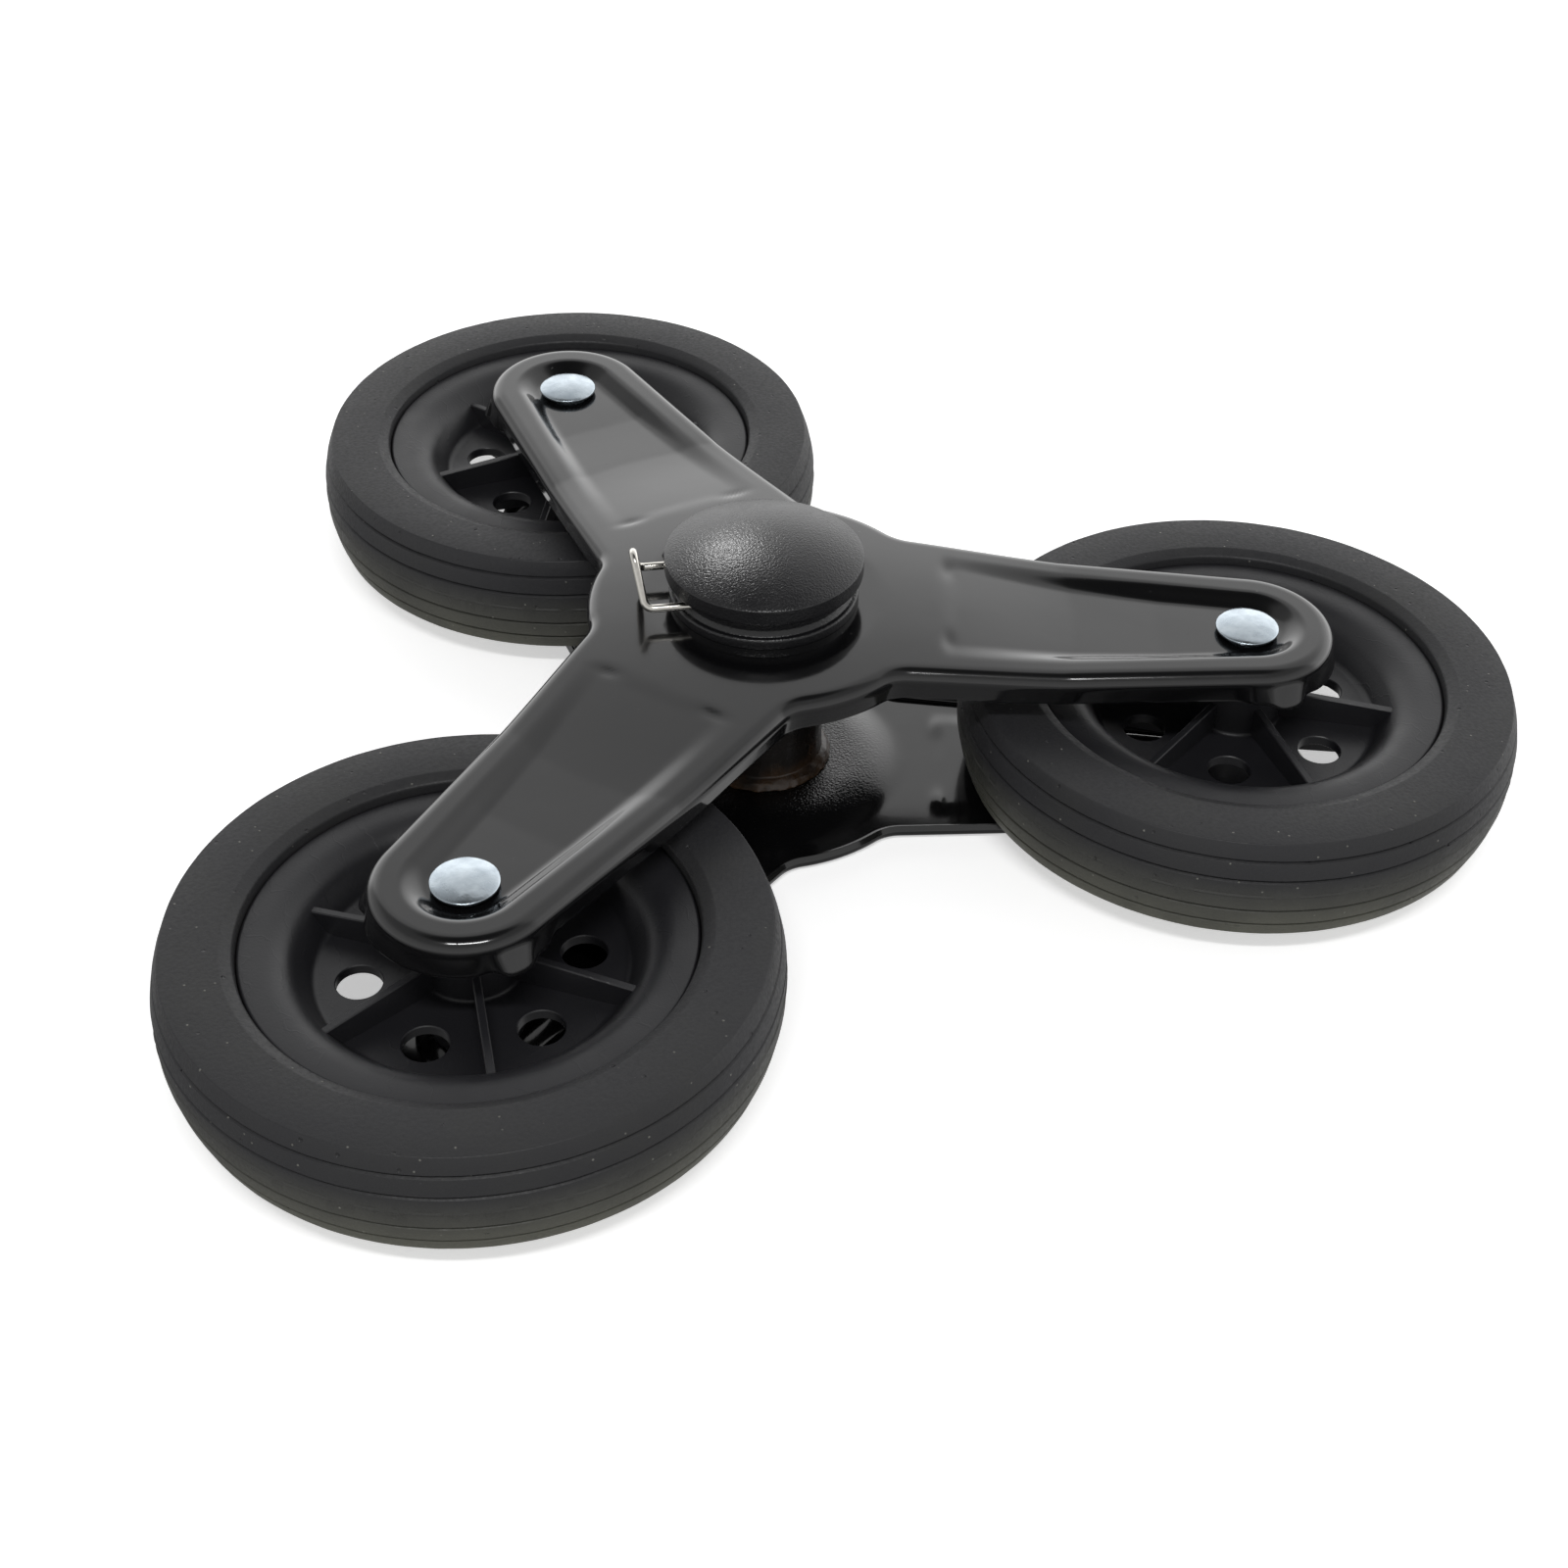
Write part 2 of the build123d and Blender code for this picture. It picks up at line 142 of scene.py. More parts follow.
class WheelSizes(bpy.types.PropertyGroup):
    """Sizes of the tyres, rims and axle rivets."""

    tread_crown: length("Tread crown", 3.4, "Drop of the tread from its middle to its shoulders")
    lip: length("Tyre lip", 3.0, "Radius of the rounding where the sidewall meets the rim")
    groove_depth: length("Groove depth", 0.9, "Depth of the grooves round the tread")
    rim_radius: length("Rim radius", 58.0, "Radius of the seat under the tyre")
    rim_width: length("Rim width", 24.8, "Width of the rim across its faces")
    bowl_radius: length("Bowl radius", 45.0, "Radius of the bowl's mouth")
    bowl_floor_radius: length("Bowl floor radius", 40.0, "Radius of the bowl's floor")
    web: length("Web", 3.0, "Thickness of the rim's web")
    rib: length("Rib", 2.2, "Thickness of the radial ribs")
    hole_radius: length("Web hole radius", 6.0, "Radius of the six holes in the web")
    hole_pitch: length("Web hole pitch", 28.6, "Distance of the web holes from the axle")
    barrel_radius: length("Barrel radius", 12.6, "Outer radius of the rim's barrel")
    barrel_bore: length("Barrel bore", 8.58, "Radius of the bore for the wheel bushes")
    rivet_head: length("Rivet head radius", 8.85, "Radius of the axle rivet's head")
    rivet_shank: length("Rivet shank radius", 5.0, "Radius of the axle rivet's shank")


class Finishes(bpy.types.PropertyGroup):
    """Colours of the finishes."""

    enamel: colour("Enamel", "#0b0b0c", "Gloss enamel on the plates")
    nylon: colour("Nylon", "#111113", "Moulded nylon of the cap and collar")
    rubber: colour("Rubber", "#29292b", "Rubber of the tyres")
    scuffed_rubber: colour("Scuffed rubber", "#2e2e2d", "Dusty rubber where the tyre has been handled")
    plastic: colour("Rim plastic", "#1c1c1f", "Moulded polypropylene of the rims")
    zinc: colour("Zinc", "#c9d3da", "Zinc plating of the rivets")
    wire: colour("Wire", "#d9d6cf", "Nickel plating of the spring wire")
    burnt: colour("Heat tint", "#46321f", "Steel tinted by welding under thin paint")
    bush: colour("Bush nylon", "#d8d3c4", "Unfilled nylon of the wheel bushes")
    floor: colour("Floor", "#f4f4f4", "White floor")


class CameraPlace(bpy.types.PropertyGroup):
    """Where the camera stands."""

    azimuth: bpy.props.FloatProperty(
        name="Azimuth", description="Turn of the camera round the object", default=math.radians(-28.56),
        subtype="ANGLE"
    )
    elevation: bpy.props.FloatProperty(
        name="Elevation", description="Height of the camera above the horizon", default=math.radians(39.82),
        subtype="ANGLE"
    )
    roll: bpy.props.FloatProperty(
        name="Roll", description="Turn of the camera about its own axis", default=math.radians(1.14),
        subtype="ANGLE"
    )
    distance: length("Distance", 623.5, "Distance from the camera to the point it looks at")
    lens: bpy.props.FloatProperty(
        name="Lens", description="Focal length in millimetres on a 36 mm sensor", default=55.07, min=1.0
    )
    aim: bpy.props.FloatVectorProperty(
        name="Aim", description="Point that the camera looks at", default=(-0.0298, -0.0689, 0.054),
        subtype="TRANSLATION", unit="LENGTH"
    )


# ---- mesh helpers -------------------------------------------------------------------------

def smooth(t):
    """Smooth step from 0 to 1 of a number or array."""
    t = np.clip(t, 0.0, 1.0)
    return t * t * (3 - 2 * t)


def wobble(point, size, seed=0.0):
    """Smooth noise between about -1 and 1 with features of a given size."""
    return noise.noise(Vector(point) / size + Vector((seed, -seed, 0.5 * seed)))


def new_object(name, bm):
    """Object in the scene made from a bmesh, which is freed."""
    mesh = bpy.data.meshes.new(name)
    bm.to_mesh(mesh)
    bm.free()
    made = bpy.data.objects.new(name, mesh)
    bpy.context.scene.collection.objects.link(made)
    return made


def finish_piece(name, bm, body, material, nodes, sharp=35):
    """Turns a bmesh into a shaded piece that rides on a body and stands for CAD nodes."""
    piece = new_object(name, bm)
    piece.data.shade_smooth()
    piece.data.set_sharp_from_angle(angle=math.radians(sharp))
    piece.data.materials.append(material)
    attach(piece, body)
    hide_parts(*nodes)
    return piece


def rounded(corners, steps=5):
    """Outline through (r, z, radius) corners, with each corner rounded by its radius."""
    nearly_straight = math.radians(88)
    longest_share = 0.49
    points = []
    for index, (r, z, radius) in enumerate(corners):
        here = Vector((r, z))
        before = Vector(corners[index - 1][:2]) - here
        after = Vector(corners[(index + 1) % len(corners)][:2]) - here
        half = before.angle(after) / 2 if radius else 0
        if not radius or half > nearly_straight:
            points.append((r, z))
            continue
        reach = min(radius / math.tan(half), longest_share * before.length, longest_share * after.length)
        radius = reach * math.tan(half)
        centre = here + (before.normalized() + after.normalized()).normalized() * radius / math.sin(half)
        start = here + before.normalized() * reach - centre
        turn = start.angle_signed(here + after.normalized() * reach - centre)
        for step in range(steps + 1):
            spoke = Matrix.Rotation(-turn * step / steps, 2) @ start
            points.append(tuple(centre + spoke))
    return points


def lathe(profile, segments, centre=(0, 0, 0), shape=None):
    """Closed solid turned from a closed (r, z) outline; shape(r, z, angle) may move each point."""
    bm = bmesh.new()
    rings = []
    for index in range(segments):
        angle = 2 * math.pi * index / segments
        ring = []
        for r, z in profile:
            new_r, new_z = shape(r, z, angle) if shape else (r, z)
            place = (centre[0] + new_r * math.cos(angle), centre[1] + new_r * math.sin(angle), centre[2] + new_z)
            ring.append(bm.verts.new(place))
        rings.append(ring)
    count = len(profile)
    on_axis = [r < 1e-9 for r, _ in profile]
    for index, ring in enumerate(rings):
        following = rings[(index + 1) % segments]
        for k in range(count):
            j = (k + 1) % count
            if not (on_axis[k] and on_axis[j]):
                bm.faces.new((ring[k], following[k], following[j], ring[j]))
    bmesh.ops.remove_doubles(bm, verts=bm.verts, dist=1e-7)
    bmesh.ops.dissolve_degenerate(bm, dist=1e-8, edges=bm.edges)
    bmesh.ops.recalc_face_normals(bm, faces=bm.faces)
    return bm


def dome(radius, start, top, rise, steps, bunching=1.0):
    """Outline of a shallow dome over a disc, from a start radius near its edge in to its top."""
    ball = (radius**2 + rise**2) / (2 * rise)
    points = []
    for step in range(steps):
        r = start * (1 - step / steps) ** bunching
        points.append((r, top - ball + math.sqrt(ball**2 - r**2), 0))
    return points + [(0.0, top, 0)]


def skin(bm, rings):
    """Adds a closed skin over rings of vertices, with an end face on the first and the last."""
    count = len(rings[0])
    faces = []
    for a, b in zip(rings, rings[1:]):
        faces += [bm.faces.new((a[k], a[(k + 1) % count], b[(k + 1) % count], b[k])) for k in range(count)]
    faces += [bm.faces.new(rings[0][::-1]), bm.faces.new(rings[-1])]
    bmesh.ops.recalc_face_normals(bm, faces=faces)


def circle(bm, centre, right, up, radius, sides):
    """Adds a ring of vertices round a centre, in the plane of two unit vectors."""
    angles = [2 * math.pi * k / sides for k in range(sides)]
    return [bm.verts.new(centre + (right * math.cos(a) + up * math.sin(a)) * radius) for a in angles]


def applied(piece):
    """Replaces a piece's mesh by the one its modifiers give."""
    graph = bpy.context.evaluated_depsgraph_get()
    mesh = bpy.data.meshes.new_from_object(piece.evaluated_get(graph))
    piece.modifiers.clear()
    piece.data = mesh
    return mesh


def box_centre(node):
    """Middle of a CAD node's box."""
    low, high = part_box(node)
    return (low + high) / 2


# ---- material helpers ---------------------------------------------------------------------

def plug(tree, socket, value):
    """Sets a socket to a value, or links it to another socket or to a node's first output."""
    if isinstance(value, bpy.types.Node):
        value = value.outputs[0]
    if isinstance(value, bpy.types.NodeSocket):
        tree.links.new(value, socket)
    else:
        socket.default_value = value


def add_node(tree, kind, inputs=None, stops=(), **settings):
    """Adds one shader node with its settings, its inputs and, on a ramp, its (position, grey or RGB) stops."""
    new = tree.nodes.new(kind)
    for key, value in settings.items():
        setattr(new, key, value)
    for key, value in (inputs or {}).items():
        plug(tree, new.inputs[key], value)
    while stops and len(new.color_ramp.elements) < len(stops):
        new.color_ramp.elements.new(1.0)
    for index, (position, tone) in enumerate(stops):
        element = new.color_ramp.elements[index]
        element.position = position
        element.color = (*([tone] * 3 if isinstance(tone, (int, float)) else tone), 1.0)
    return new


def per(millimetres):
    """Texture scale that gives features of a real size."""
    return 1000.0 / millimetres


def new_material(name):
    """Empty material with a Principled shader; returns the material, its tree, shader and place."""
    material = bpy.data.materials.new(name)
    material.use_nodes = True
    tree = material.node_tree
    tree.nodes.clear()
    shader = add_node(tree, "ShaderNodeBsdfPrincipled")
    add_node(tree, "ShaderNodeOutputMaterial", {"Surface": shader})
    place = add_node(tree, "ShaderNodeTexCoord").outputs["Object"]
    return material, tree, shader, place


def set_up(tree, shader, relief=(), **sockets):
    """Sets or links the shader's sockets, with underscores for spaces in their names.

    The relief's (height, millimetres deep) layers lie on one another in the shader's normal.
    """
    for height, depth in relief:
        inputs = {"Height": height, "Distance": depth * MM, "Strength": 1.0}
        if "Normal" in sockets:
            inputs["Normal"] = sockets["Normal"]
        sockets["Normal"] = add_node(tree, "ShaderNodeBump", inputs)
    for key, value in sockets.items():
        plug(tree, shader.inputs[key.replace("_", " ")], value)


def specks(tree, place, spacing, size, seed):
    """Sparse round specks: 1 at the middle of a speck and 0 away from it."""
    moved = add_node(tree, "ShaderNodeMapping", {"Vector": place, "Location": (seed, 2 * seed, -seed)})
    cells = add_node(tree, "ShaderNodeTexVoronoi", {"Vector": moved, "Scale": per(spacing)})
    return add_node(tree, "ShaderNodeValToRGB", {"Fac": cells}, [(0.0, 1.0), (size, 0.0)])


def near_weld(tree, place):
    """1 on the lower plate beside the hub tube's weld, falling to 0 at 40 mm from the hub axis."""
    axes = add_node(tree, "ShaderNodeSeparateXYZ", {"Vector": place}).outputs
    flat = add_node(tree, "ShaderNodeCombineXYZ", {"X": axes["X"], "Y": axes["Y"]})
    reach = add_node(tree, "ShaderNodeVectorMath", {0: flat}, operation="LENGTH").outputs["Value"]
    beside = add_node(tree, "ShaderNodeMapRange", {"Value": reach, "From Min": 40 * MM, "From Max": 26 * MM})
    low = add_node(tree, "ShaderNodeMapRange", {"Value": axes["Z"], "From Min": 30 * MM, "From Max": 20 * MM})
    return add_node(tree, "ShaderNodeMath", {0: beside, 1: low}, operation="MULTIPLY")


# ---- materials ----------------------------------------------------------------------------

def gloss_enamel(colours):
    """Dipped and baked gloss enamel on pressed steel."""
    # Deep black with sharp reflections that ripple a little, a few grains of dust under the paint, and weld
    # spatter that makes the lower plate gritty round the hub tube.
    material, tree, shader, place = new_material("gloss_black_enamel_on_steel")
    peel = add_node(tree, "ShaderNodeTexNoise", {"Vector": place, "Scale": per(7.0), "Detail": 2.0})
    sag = add_node(tree, "ShaderNodeTexNoise", {"Vector": place, "Scale": per(28.0), "Detail": 1.0})
    dust = specks(tree, place, 7.0, 0.035, 0.31)
    cloud = add_node(tree, "ShaderNodeTexNoise", {"Vector": place, "Scale": per(22.0), "Detail": 4.0})
    rough = add_node(tree, "ShaderNodeValToRGB", {"Fac": cloud}, [(0.3, 0.10), (0.75, 0.17)])
    # Spatter is about 0.3 mm; it is drawn at 0.7 mm so that it shows.
    grit = add_node(tree, "ShaderNodeTexNoise", {"Vector": place, "Scale": per(0.7), "Detail": 2.0})
    gritty = add_node(tree, "ShaderNodeMath", {0: grit, 1: near_weld(tree, place)}, operation="MULTIPLY")
    set_up(tree, shader, [(sag, 0.16), (peel, 0.018), (dust, 0.12), (gritty, 0.34)],
           Base_Color=(*colours.enamel, 1), Roughness=rough, IOR=1.55,
           Coat_Weight=0.35, Coat_Roughness=0.05, Coat_IOR=1.5)
    return material


def thin_enamel_over_weld(colours):
    """Enamel burnt thin over the weld at the foot of the hub tube."""
    # Brown and bronze tint near the weld, black higher up, with a coarse blistered skin.
    material, tree, shader, place = new_material("heat_tinted_enamel_on_weld")
    height = add_node(tree, "ShaderNodeSeparateXYZ", {"Vector": place}).outputs["Z"]
    cloud = add_node(tree, "ShaderNodeTexNoise", {"Vector": place, "Scale": per(9.0), "Detail": 5.0})
    lift = add_node(tree, "ShaderNodeMath", {0: cloud, 1: 22 * MM}, operation="MULTIPLY")
    level = add_node(tree, "ShaderNodeMath", {0: height, 1: lift}, operation="ADD")
    share = add_node(tree, "ShaderNodeMapRange", {"Value": level, "From Min": 12 * MM, "From Max": 42 * MM})
    tint = add_node(tree, "ShaderNodeValToRGB", {"Fac": share}, [
        (0.0, colours.enamel), (0.12, colours.burnt), (0.4, linear("#1b1613")), (0.85, colours.enamel)])
    grain = add_node(tree, "ShaderNodeTexNoise", {"Vector": place, "Scale": per(1.6), "Detail": 3.0})
    rough = add_node(tree, "ShaderNodeValToRGB", {"Fac": cloud}, [(0.3, 0.22), (0.8, 0.42)])
    set_up(tree, shader, [(cloud, 0.35), (grain, 0.10)], Base_Color=tint, Roughness=rough, IOR=1.5)
    return material


def moulded_nylon(colours):
    """Black nylon from a finely sparked mould."""
    # Satin black whose highlight breaks up into a fine leathery grain.
    material, tree, shader, place = new_material("moulded_black_nylon")
    # The spark grain is about 0.3 mm; it is drawn at 0.6 mm so that it shows.
    grain = add_node(tree, "ShaderNodeTexNoise", {"Vector": place, "Scale": per(0.6), "Detail": 1.0})
    blotch = add_node(tree, "ShaderNodeTexNoise", {"Vector": place, "Scale": per(6.0), "Detail": 4.0})
    rough = add_node(tree, "ShaderNodeValToRGB", {"Fac": blotch}, [(0.3, 0.28), (0.7, 0.33)])
    set_up(tree, shader, [(grain, 0.14), (specks(tree, place, 6.0, 0.05, 0.4), 0.1)],
           Base_Color=(*colours.nylon, 1), Roughness=rough, IOR=1.53)
    return material


def vulcanised_rubber(colours):
    """Solid rubber, vulcanised in a turned mould."""
    # Dull black with a fine tooth, dusty patches, small nicks and pits, and a greyer tone near the ground that is
    # partly dust and partly painted bounce light from the white floor.
    material, tree, shader, place = new_material("vulcanised_black_rubber")
    patch = add_node(tree, "ShaderNodeTexNoise", {"Vector": place, "Scale": per(24.0), "Detail": 5.0})
    fine = add_node(tree, "ShaderNodeTexNoise", {"Vector": place, "Scale": per(1.1), "Detail": 3.0})
    scuff = specks(tree, place, 5.0, 0.08, 0.77)
    pit = specks(tree, place, 7.0, 0.09, 0.13)
    height = add_node(tree, "ShaderNodeSeparateXYZ", {"Vector": place}).outputs["Z"]
    low = add_node(tree, "ShaderNodeMapRange", {"Value": height, "From Min": 8 * MM, "From Max": 30 * MM})
    # Painted bounce light mixed with dust: the rubber is coloured lighter and greyer from 30 mm down to 8 mm above
    # the floor, in place of light thrown up by the floor.
    floor_bounce_and_dust_tone = add_node(tree, "ShaderNodeValToRGB", {"Fac": low}, [(0.0, linear("#56564c")), (1.0, colours.rubber)])
    dusty = add_node(tree, "ShaderNodeValToRGB", {"Fac": patch}, [(0.42, 0.0), (0.72, 0.55)])
    # The dusty patches lie over the tone with painted bounce light, so this colour carries that painted light too.
    worn = add_node(tree, "ShaderNodeMix", {0: dusty, 6: floor_bounce_and_dust_tone, 7: (*colours.scuffed_rubber, 1)},
                    data_type="RGBA")
    marked = add_node(tree, "ShaderNodeMix", {0: scuff, 6: worn.outputs[2], 7: (*linear("#7c7c74"), 1)},
                      data_type="RGBA")
    rough = add_node(tree, "ShaderNodeValToRGB", {"Fac": fine}, [(0.25, 0.36), (0.75, 0.58)])
    set_up(tree, shader, [(fine, 0.08), (pit, -0.6), (scuff, 0.2)],
           Base_Color=marked.outputs[2], Roughness=rough, IOR=1.52, Specular_IOR_Level=0.30)
    return material


def moulded_polypropylene(colours):
    """Rims moulded from black polypropylene with a matt skin."""
    # Softer black than the enamel, with a satin bloom on the rounded faces and light scratches.
    material, tree, shader, place = new_material("moulded_black_polypropylene")
    flow = add_node(tree, "ShaderNodeTexNoise", {"Vector": place, "Scale": per(15.0), "Detail": 3.0})
    fine = add_node(tree, "ShaderNodeTexNoise", {"Vector": place, "Scale": per(0.8), "Detail": 2.0})
    scratch = add_node(tree, "ShaderNodeTexWave", {"Vector": place, "Scale": per(31.0), "Distortion": 9.0,
                                                   "Detail": 3.0, "Detail Scale": 2.0})
    line = add_node(tree, "ShaderNodeValToRGB", {"Fac": scratch.outputs["Fac"]}, [(0.0, 1.0), (0.012, 0.0)])
    rough = add_node(tree, "ShaderNodeValToRGB", {"Fac": flow}, [(0.3, 0.36), (0.75, 0.48)])
    set_up(tree, shader, [(fine, 0.03), (line, 0.02)],
           Base_Color=(*colours.plastic, 1), Roughness=rough, IOR=1.49)
    return material


def zinc_plate(colours):
    """Blue-passivated zinc plating on headed steel."""
    # Bright, slightly blue metal with soft hammer-like unevenness and dull smudges.
    material, tree, shader, place = new_material("blue_zinc_plated_steel")
    smudge = add_node(tree, "ShaderNodeTexNoise", {"Vector": place, "Scale": per(5.0), "Detail": 5.0})
    grit = add_node(tree, "ShaderNodeTexNoise", {"Vector": place, "Scale": per(0.9), "Detail": 3.0})
    rough = add_node(tree, "ShaderNodeValToRGB", {"Fac": smudge}, [(0.35, 0.16), (0.7, 0.34)])
    tone = add_node(tree, "ShaderNodeValToRGB", {"Fac": smudge}, [(0.3, colours.zinc), (0.75, linear("#a9b4bd"))])
    set_up(tree, shader, [(smudge, 0.10), (grit, 0.02)], Base_Color=tone, Metallic=1.0, Roughness=rough)
    return material


def nickel_wire(colours):
    """Drawn spring wire with bright nickel plating."""
    # Hard bright metal whose highlight runs along the wire.
    material, tree, shader, place = new_material("nickel_plated_spring_wire")
    drawn = add_node(tree, "ShaderNodeTexNoise", {"Vector": place, "Scale": per(1.5), "Detail": 3.0})
    rough = add_node(tree, "ShaderNodeValToRGB", {"Fac": drawn}, [(0.3, 0.12), (0.7, 0.26)])
    set_up(tree, shader, [(drawn, 0.02)], Base_Color=(*colours.wire, 1), Metallic=1.0, Roughness=rough)
    return material


def unfilled_nylon(colours):
    """Unfilled nylon of the wheel bushes."""
    # Creamy, slightly waxy plastic with soft clouding.
    material, tree, shader, place = new_material("natural_nylon")
    cloud = add_node(tree, "ShaderNodeTexNoise", {"Vector": place, "Scale": per(4.0), "Detail": 3.0})
    tone = add_node(tree, "ShaderNodeValToRGB", {"Fac": cloud}, [(0.3, colours.bush), (0.75, linear("#c4bda9"))])
    set_up(tree, shader, [(cloud, 0.03)], Base_Color=tone, Roughness=0.4, IOR=1.53)
    return material


def white_floor(colours):
    """White painted board."""
    # Even pale ground that bounces soft light into the undersides.
    material, tree, shader, place = new_material("white_painted_board")
    fine = add_node(tree, "ShaderNodeTexNoise", {"Vector": place, "Scale": per(2.0), "Detail": 2.0})
    rough = add_node(tree, "ShaderNodeValToRGB", {"Fac": fine}, [(0.3, 0.7), (0.7, 0.8)])
    set_up(tree, shader, Base_Color=(*colours.floor, 1), Roughness=rough, Emission_Color=(1, 1, 1, 1),
           Emission_Strength=0.5)
    return material


# ---- frame plates -------------------------------------------------------------------------

# Half the angle between two arms, and the run over which an arm's straight edge turns into its tip.
HALF_SECTOR = math.radians(60)
TIP_LEAD = 8 * MM


def arm_outline(p, pitch, step):
    """Half an arm's outline from the middle of the hub disc's edge to the tip.

    Gives the points, their inward normals, how far each lies past the start of the tip arc, and the marks: the
    side's length, the angle of the corner's centre and the side's slope.
    """
    slope = math.asin((p.root_radius - p.tip_radius) / pitch)
    along = np.array((math.cos(slope), -math.sin(slope)))
    out = np.array((math.sin(slope), math.cos(slope)))
    reach = p.hub_radius + p.corner_radius
    run = math.sqrt(reach**2 - (p.root_radius + p.corner_radius) ** 2)
    corner = out * (p.root_radius + p.corner_radius) + along * run
    corner_angle = math.atan2(corner[1], corner[0])
    tip = np.array((pitch, 0.0))
    side_start = out * p.root_radius + along * run
    side_end = tip + out * p.tip_radius
    side_length = float(np.linalg.norm(side_end - side_start))
    points, inward, past = [], [], []

    def arc(centre, radius, first, last, sign):
        count = max(2, int(abs(last - first) * radius / step) + 1)
        for angle in np.linspace(first, last, count, endpoint=False):
            spoke = np.array((math.cos(angle), math.sin(angle)))
            points.append(centre + radius * spoke)
            inward.append(sign * spoke)
            past.append((first - angle) * radius if sign < 0 and radius < p.hub_radius else None)

    arc(np.zeros(2), p.hub_radius, HALF_SECTOR, corner_angle, -1)
    arc(corner, p.corner_radius, corner_angle - math.pi, -math.pi / 2 - slope, 1)
    for share in np.linspace(0, 1, int(side_length / step), endpoint=False):
        points.append(side_start + (side_end - side_start) * share)
        inward.append(-out)
        past.append((share - 1) * side_length)
    arc(tip, p.tip_radius, math.pi / 2 - slope, 0.0, -1)
    points.append(np.array((pitch + p.tip_radius, 0.0)))
    inward.append(np.array((-1.0, 0.0)))
    past.append((math.pi / 2 - slope) * p.tip_radius)
    return np.array(points), np.array(inward), past, (side_length, corner_angle, slope)


def spine_points(p, pitch, points, marks):
    """For each outline point, the point it is joined to: round the hub hole, along the arm, round the rivet."""
    steps = np.linalg.norm(np.diff(points, axis=0), axis=1)
    run = np.concatenate(([0.0], np.cumsum(steps)))
    side_length, corner_angle, slope = marks
    hub_arc = p.hub_hole_radius * HALF_SECTOR
    axis = pitch - p.rivet_hole_radius - p.hub_hole_radius
    rivet_arc = p.rivet_hole_radius * math.pi
    disc_run = p.hub_radius * (HALF_SECTOR - corner_angle)
    side_start = disc_run + p.corner_radius * (math.pi / 2 - slope - corner_angle)
    side_end = side_start + side_length
    # Runs along the edge and along the spine that lie opposite each other; the shares keep the columns even.
    pairs = [
        (0.0, 0.0), (disc_run, 0.42 * hub_arc), (side_start, 0.72 * hub_arc),
        (side_start + 0.08 * side_length, hub_arc), (side_start + 0.2 * side_length, hub_arc + 0.18 * axis),
        (side_start + 0.45 * side_length, hub_arc + 0.52 * axis), (side_end - 0.1 * side_length, hub_arc + axis),
        (side_end, hub_arc + axis + 0.42 * rivet_arc), (float(run[-1]), hub_arc + axis + rivet_arc),
    ]
    result = []
    for s in np.interp(run, *zip(*pairs)):
        if s <= hub_arc:
            angle = HALF_SECTOR - s / p.hub_hole_radius
            result.append((p.hub_hole_radius * math.cos(angle), p.hub_hole_radius * math.sin(angle)))
        elif s <= hub_arc + axis:
            result.append((p.hub_hole_radius + s - hub_arc, 0.0))
        else:
            angle = math.pi - (s - hub_arc - axis) / p.rivet_hole_radius
            around = (math.cos(angle), math.sin(angle))
            result.append((pitch + p.rivet_hole_radius * around[0], max(0.0, p.rivet_hole_radius * around[1])))
    return np.array(result)


def panel_depth(p, pitch, x, y):
    """Depth of the sunk panel, which deepens along a ramp, and of the dimple in each hub-end corner."""
    wall_offset, start_wall, first_depth, straight = 0.42, 6 * MM, 0.10, 0.75
    dimple_length, dimple_width, dimple_depth = 1.5 * MM, 4.2 * MM, 0.45 * MM
    y = np.abs(y)
    slope = math.asin((p.panel_root_radius - p.panel_tip_radius) / pitch)
    side = p.panel_root_radius - (x * math.sin(slope) + y * math.cos(slope))
    tip = p.panel_tip_radius - np.hypot(x - pitch, y)
    inside = np.where(x > pitch + p.panel_tip_radius * math.sin(slope), tip, side)
    walls = smooth(inside / p.panel_wall + wall_offset) * smooth((x - p.panel_start) / start_wall + 0.5)
    along = (x - p.panel_start) / (p.ramp_end - p.panel_start)
    ramp = np.clip(straight * along + (1 - straight) * smooth(along), 0, 1)
    deepening = first_depth + (1 - first_depth) * ramp
    dimple = np.exp(-(((x - p.panel_start) / dimple_length) ** 2 + ((y - p.ramp_half_width) / dimple_width) ** 2))
    return p.panel_depth * walls * deepening + dimple_depth * dimple


def land_height(p, pitch, x, y, upper):
    """Height of the plate's face over its land."""
    r = np.hypot(x, y)
    if upper:
        straight = 0.6
        share = np.clip((p.boss_foot_radius - r) / (p.boss_foot_radius - p.boss_top_radius), 0, 1)
        middle = p.boss_height * (straight * share + (1 - straight) * smooth(share))
    else:
        middle = -p.panel_depth * smooth((p.dish_radius + p.dish_slope - r) / p.dish_slope)
    return middle - panel_depth(p, pitch, x, y)


